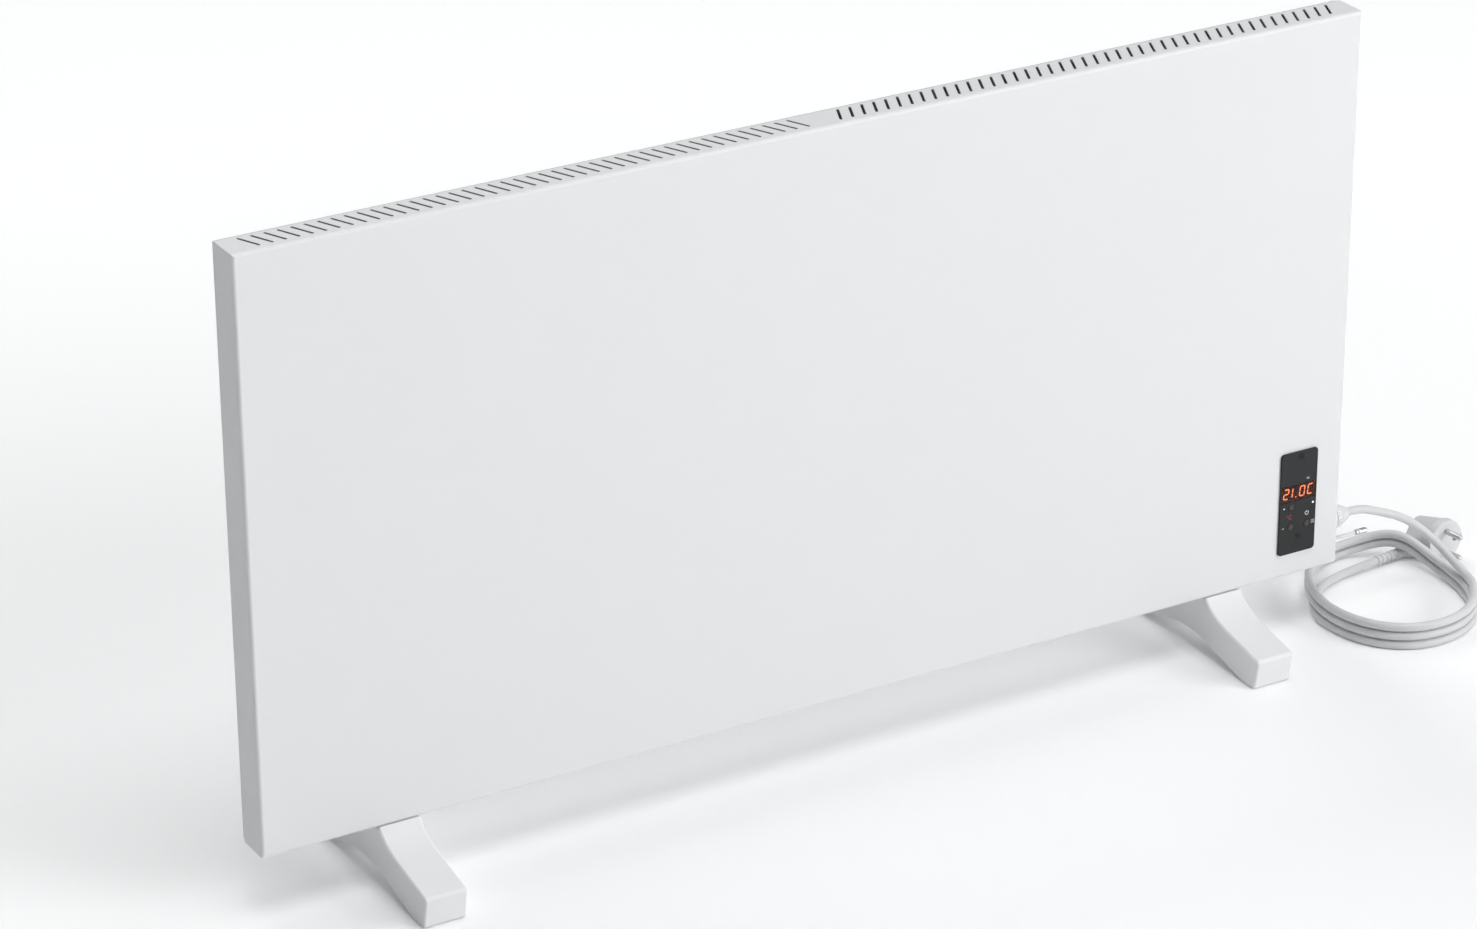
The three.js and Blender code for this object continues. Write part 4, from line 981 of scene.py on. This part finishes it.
relief_thin, relief_thick = 0.0044, 0.0051
relief_ribs = 6
rib_depth = 0.0009
rib_round = 0.0004
plug_along = 0.024                   # from the strain relief's end to the middle of the face
plug_top = 0.0383
plug_radius = 0.019
plug_face, plug_rim, plug_back = -0.028, -0.019, 0.008
plug_back_radius = 0.0109
neck_inset = 0.001                   # of the body's cone, where it runs into the face's rim
face_bevel = 0.0008
rim_step = (0.0012, 0.0004)
face_sides = 96
pin_radius, pin_spacing, pin_length = 0.0024, 0.019, 0.019
pin_seat = 0.0004
pin_nose = (0.55, 0.0016)            # share of its radius, and length
pin_round = 0.0012
pin_round_steps = 6
turned_sides = 40
earth_aside, earth_radius, earth_depth = 0.0105, 0.0026, 0.007
remesh_size = 0.0006
remesh_smoothing = 5
plug_sharp = 60

plug_grey = make_finish("plug_grey", (0.66, 0.665, 0.675), 0.5, drift=0.03, drift_size=12,
                        grain=0.35, grain_size=0.4)

plug_middle = plug_top - plug_radius
relief_end = relief_start + relief_length * relief_along
plug_place = Matrix.Translation(relief_end.xy.to_3d()) @ Matrix.Rotation(relief_turned, 4, "Z")


def circle_in_plug(radius, x, y, z, across=Vector((1, 0, 0)), steps=48):
    """Places round a circle in the plug's own axes, drawn across and up."""
    middle = Vector((x, y, z))
    return [middle + across * along + Vector((0, 0, up)) for along, up in ring_of(radius, steps)]


relief_pitch = relief_length / (relief_ribs + 0.5)
relief_line = [(0, 0)]
for i in range(relief_ribs + 1):
    start, middle = i * relief_pitch, (i + 0.5) * relief_pitch
    radius = relief_thin + (relief_thick - relief_thin) * start / relief_length
    relief_line += [(radius, start), (radius, middle)]
    if i < relief_ribs:
        relief_line += [(radius - rib_depth, middle), (radius - rib_depth, start + relief_pitch)]
relief_line.append((0, relief_length))
relief_mesh = lathe(rounded(relief_line, rib_round), turned_sides)
relief_mesh.transform(plug_place @ turned_to((-relief_length, 0, relief_height), (1, 0, 0)))
make_piece("strain_relief", relief_mesh, plug_grey, ["plug_strain_relief"])

plug_mesh = bmesh.new()
hull = [
    *circle_in_plug(relief_thick, gap, 0, relief_height, Vector((0, 1, 0))),
    *circle_in_plug(plug_radius - neck_inset, plug_along, plug_rim, plug_middle),
    *circle_in_plug(plug_back_radius, plug_along, plug_back, plug_middle),
]
bmesh.ops.convex_hull(plug_mesh, input=[plug_mesh.verts.new(place) for place in hull])
loft(plug_mesh, [
    circle_in_plug(radius, plug_along, y, plug_middle, steps=face_sides)
    for radius, y in (
        (plug_radius - face_bevel, plug_face),
        (plug_radius, plug_face + face_bevel),
        (plug_radius, plug_rim - face_bevel),
        (plug_radius - rim_step[0], plug_rim + rim_step[1]),
    )
])
plug_mesh.transform(plug_place)
plug = make_piece("plug_moulding", plug_mesh, plug_grey, ["plug_body"])
remesh = plug.modifiers.new("remesh", "REMESH")
remesh.mode = "VOXEL"
remesh.voxel_size = remesh_size
soften = plug.modifiers.new("soften", "SMOOTH")
soften.iterations = remesh_smoothing
settle(plug, sharp=180)

hollows = bmesh.new()
loft(hollows, [
    circle_in_plug(earth_radius, plug_along + earth_aside, y, plug_middle)
    for y in (plug_face - beyond, plug_face + earth_depth)
])
for side in (-1, 1):
    loft(hollows, [
        circle_in_plug(pin_radius + gap, plug_along, y, plug_middle + side * pin_spacing / 2)
        for y in (plug_face - beyond, plug_face + pin_seat)
    ])
hollows.transform(plug_place)
carve(plug, hollows, sharp=plug_sharp)

for i, side in enumerate((-1, 1), 1):
    pin_mesh = lathe(rounded([
        (0, 0), (pin_radius, 0), (pin_radius, pin_length - pin_nose[1]),
        (pin_radius * pin_nose[0], pin_length), (0, pin_length),
    ], pin_round, pin_round_steps), turned_sides)
    root = (plug_along, plug_face, plug_middle + side * pin_spacing / 2)
    pin_mesh.transform(plug_place @ turned_to(root, (0, -1, 0)))
    make_piece(f"plug_pin_{i}_turned", pin_mesh, steel, [f"plug_pin_{i}"])

# --------------------------------------------------------------------------------------------
# Rear cover and inner parts: what shows through the slots, from behind and at the wall keeps
# its solid, in the finish of the real part.
# --------------------------------------------------------------------------------------------

aluminium = make_finish("aluminium", (0.62, 0.63, 0.65), 0.38, metal=1, drift=0.05,
                        drift_size=10, grain=0.2)
ceramic = make_finish("ceramic", (0.72, 0.70, 0.65), 0.35, drift=0.05, drift_size=6)
circuit_green = make_finish("circuit_board", (0.02, 0.13, 0.06), 0.4, drift=0.2, drift_size=1.5)
brass = make_finish("brass", (0.72, 0.52, 0.22), 0.3, metal=1, drift=0.06, drift_size=3)


def give(finish, *nodes):
    """The finish takes the place of the one that the nodes came with."""
    for node in nodes:
        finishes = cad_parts[node].data.materials
        finishes.clear()
        finishes.append(finish)


give(white_paint, "rear_cover")
give(black_plastic, "display_module", "thermal_cutout", "power_module")
give(black_plastic, "switch_plus", "switch_minus", "switch_power")
give(lamp_glow, "indicator_lamp")
give(grey_plastic, "probe_bushing", "gland_locknut")
give(cord_grey, "cord_inner_end")
give(steel, "element_rod", "plug_earth_clip_1", "plug_earth_clip_2")
give(zinc, "element_bracket_left", "element_bracket_right")
give(aluminium, "heating_element", "reflector_sheet")
give(ceramic, "element_insulator_left", "element_insulator_right", "terminal_block")
give(circuit_green, "control_board")
give(brass, "board_standoff_1", "board_standoff_2", "earth_screw")
for name, colour, nodes in (
    ("brown_wire", (0.10, 0.045, 0.02), ["wire_live"]),
    ("blue_wire", (0.02, 0.08, 0.35), ["wire_neutral", "wire_element_return"]),
    ("earth_wire", (0.20, 0.36, 0.03), ["wire_earth"]),
    ("white_wire", (0.65, 0.64, 0.60), ["wire_to_cutout", "wire_to_element"]),
):
    give(make_finish(name, colour, 0.4, drift=0.05, drift_size=5), *nodes)
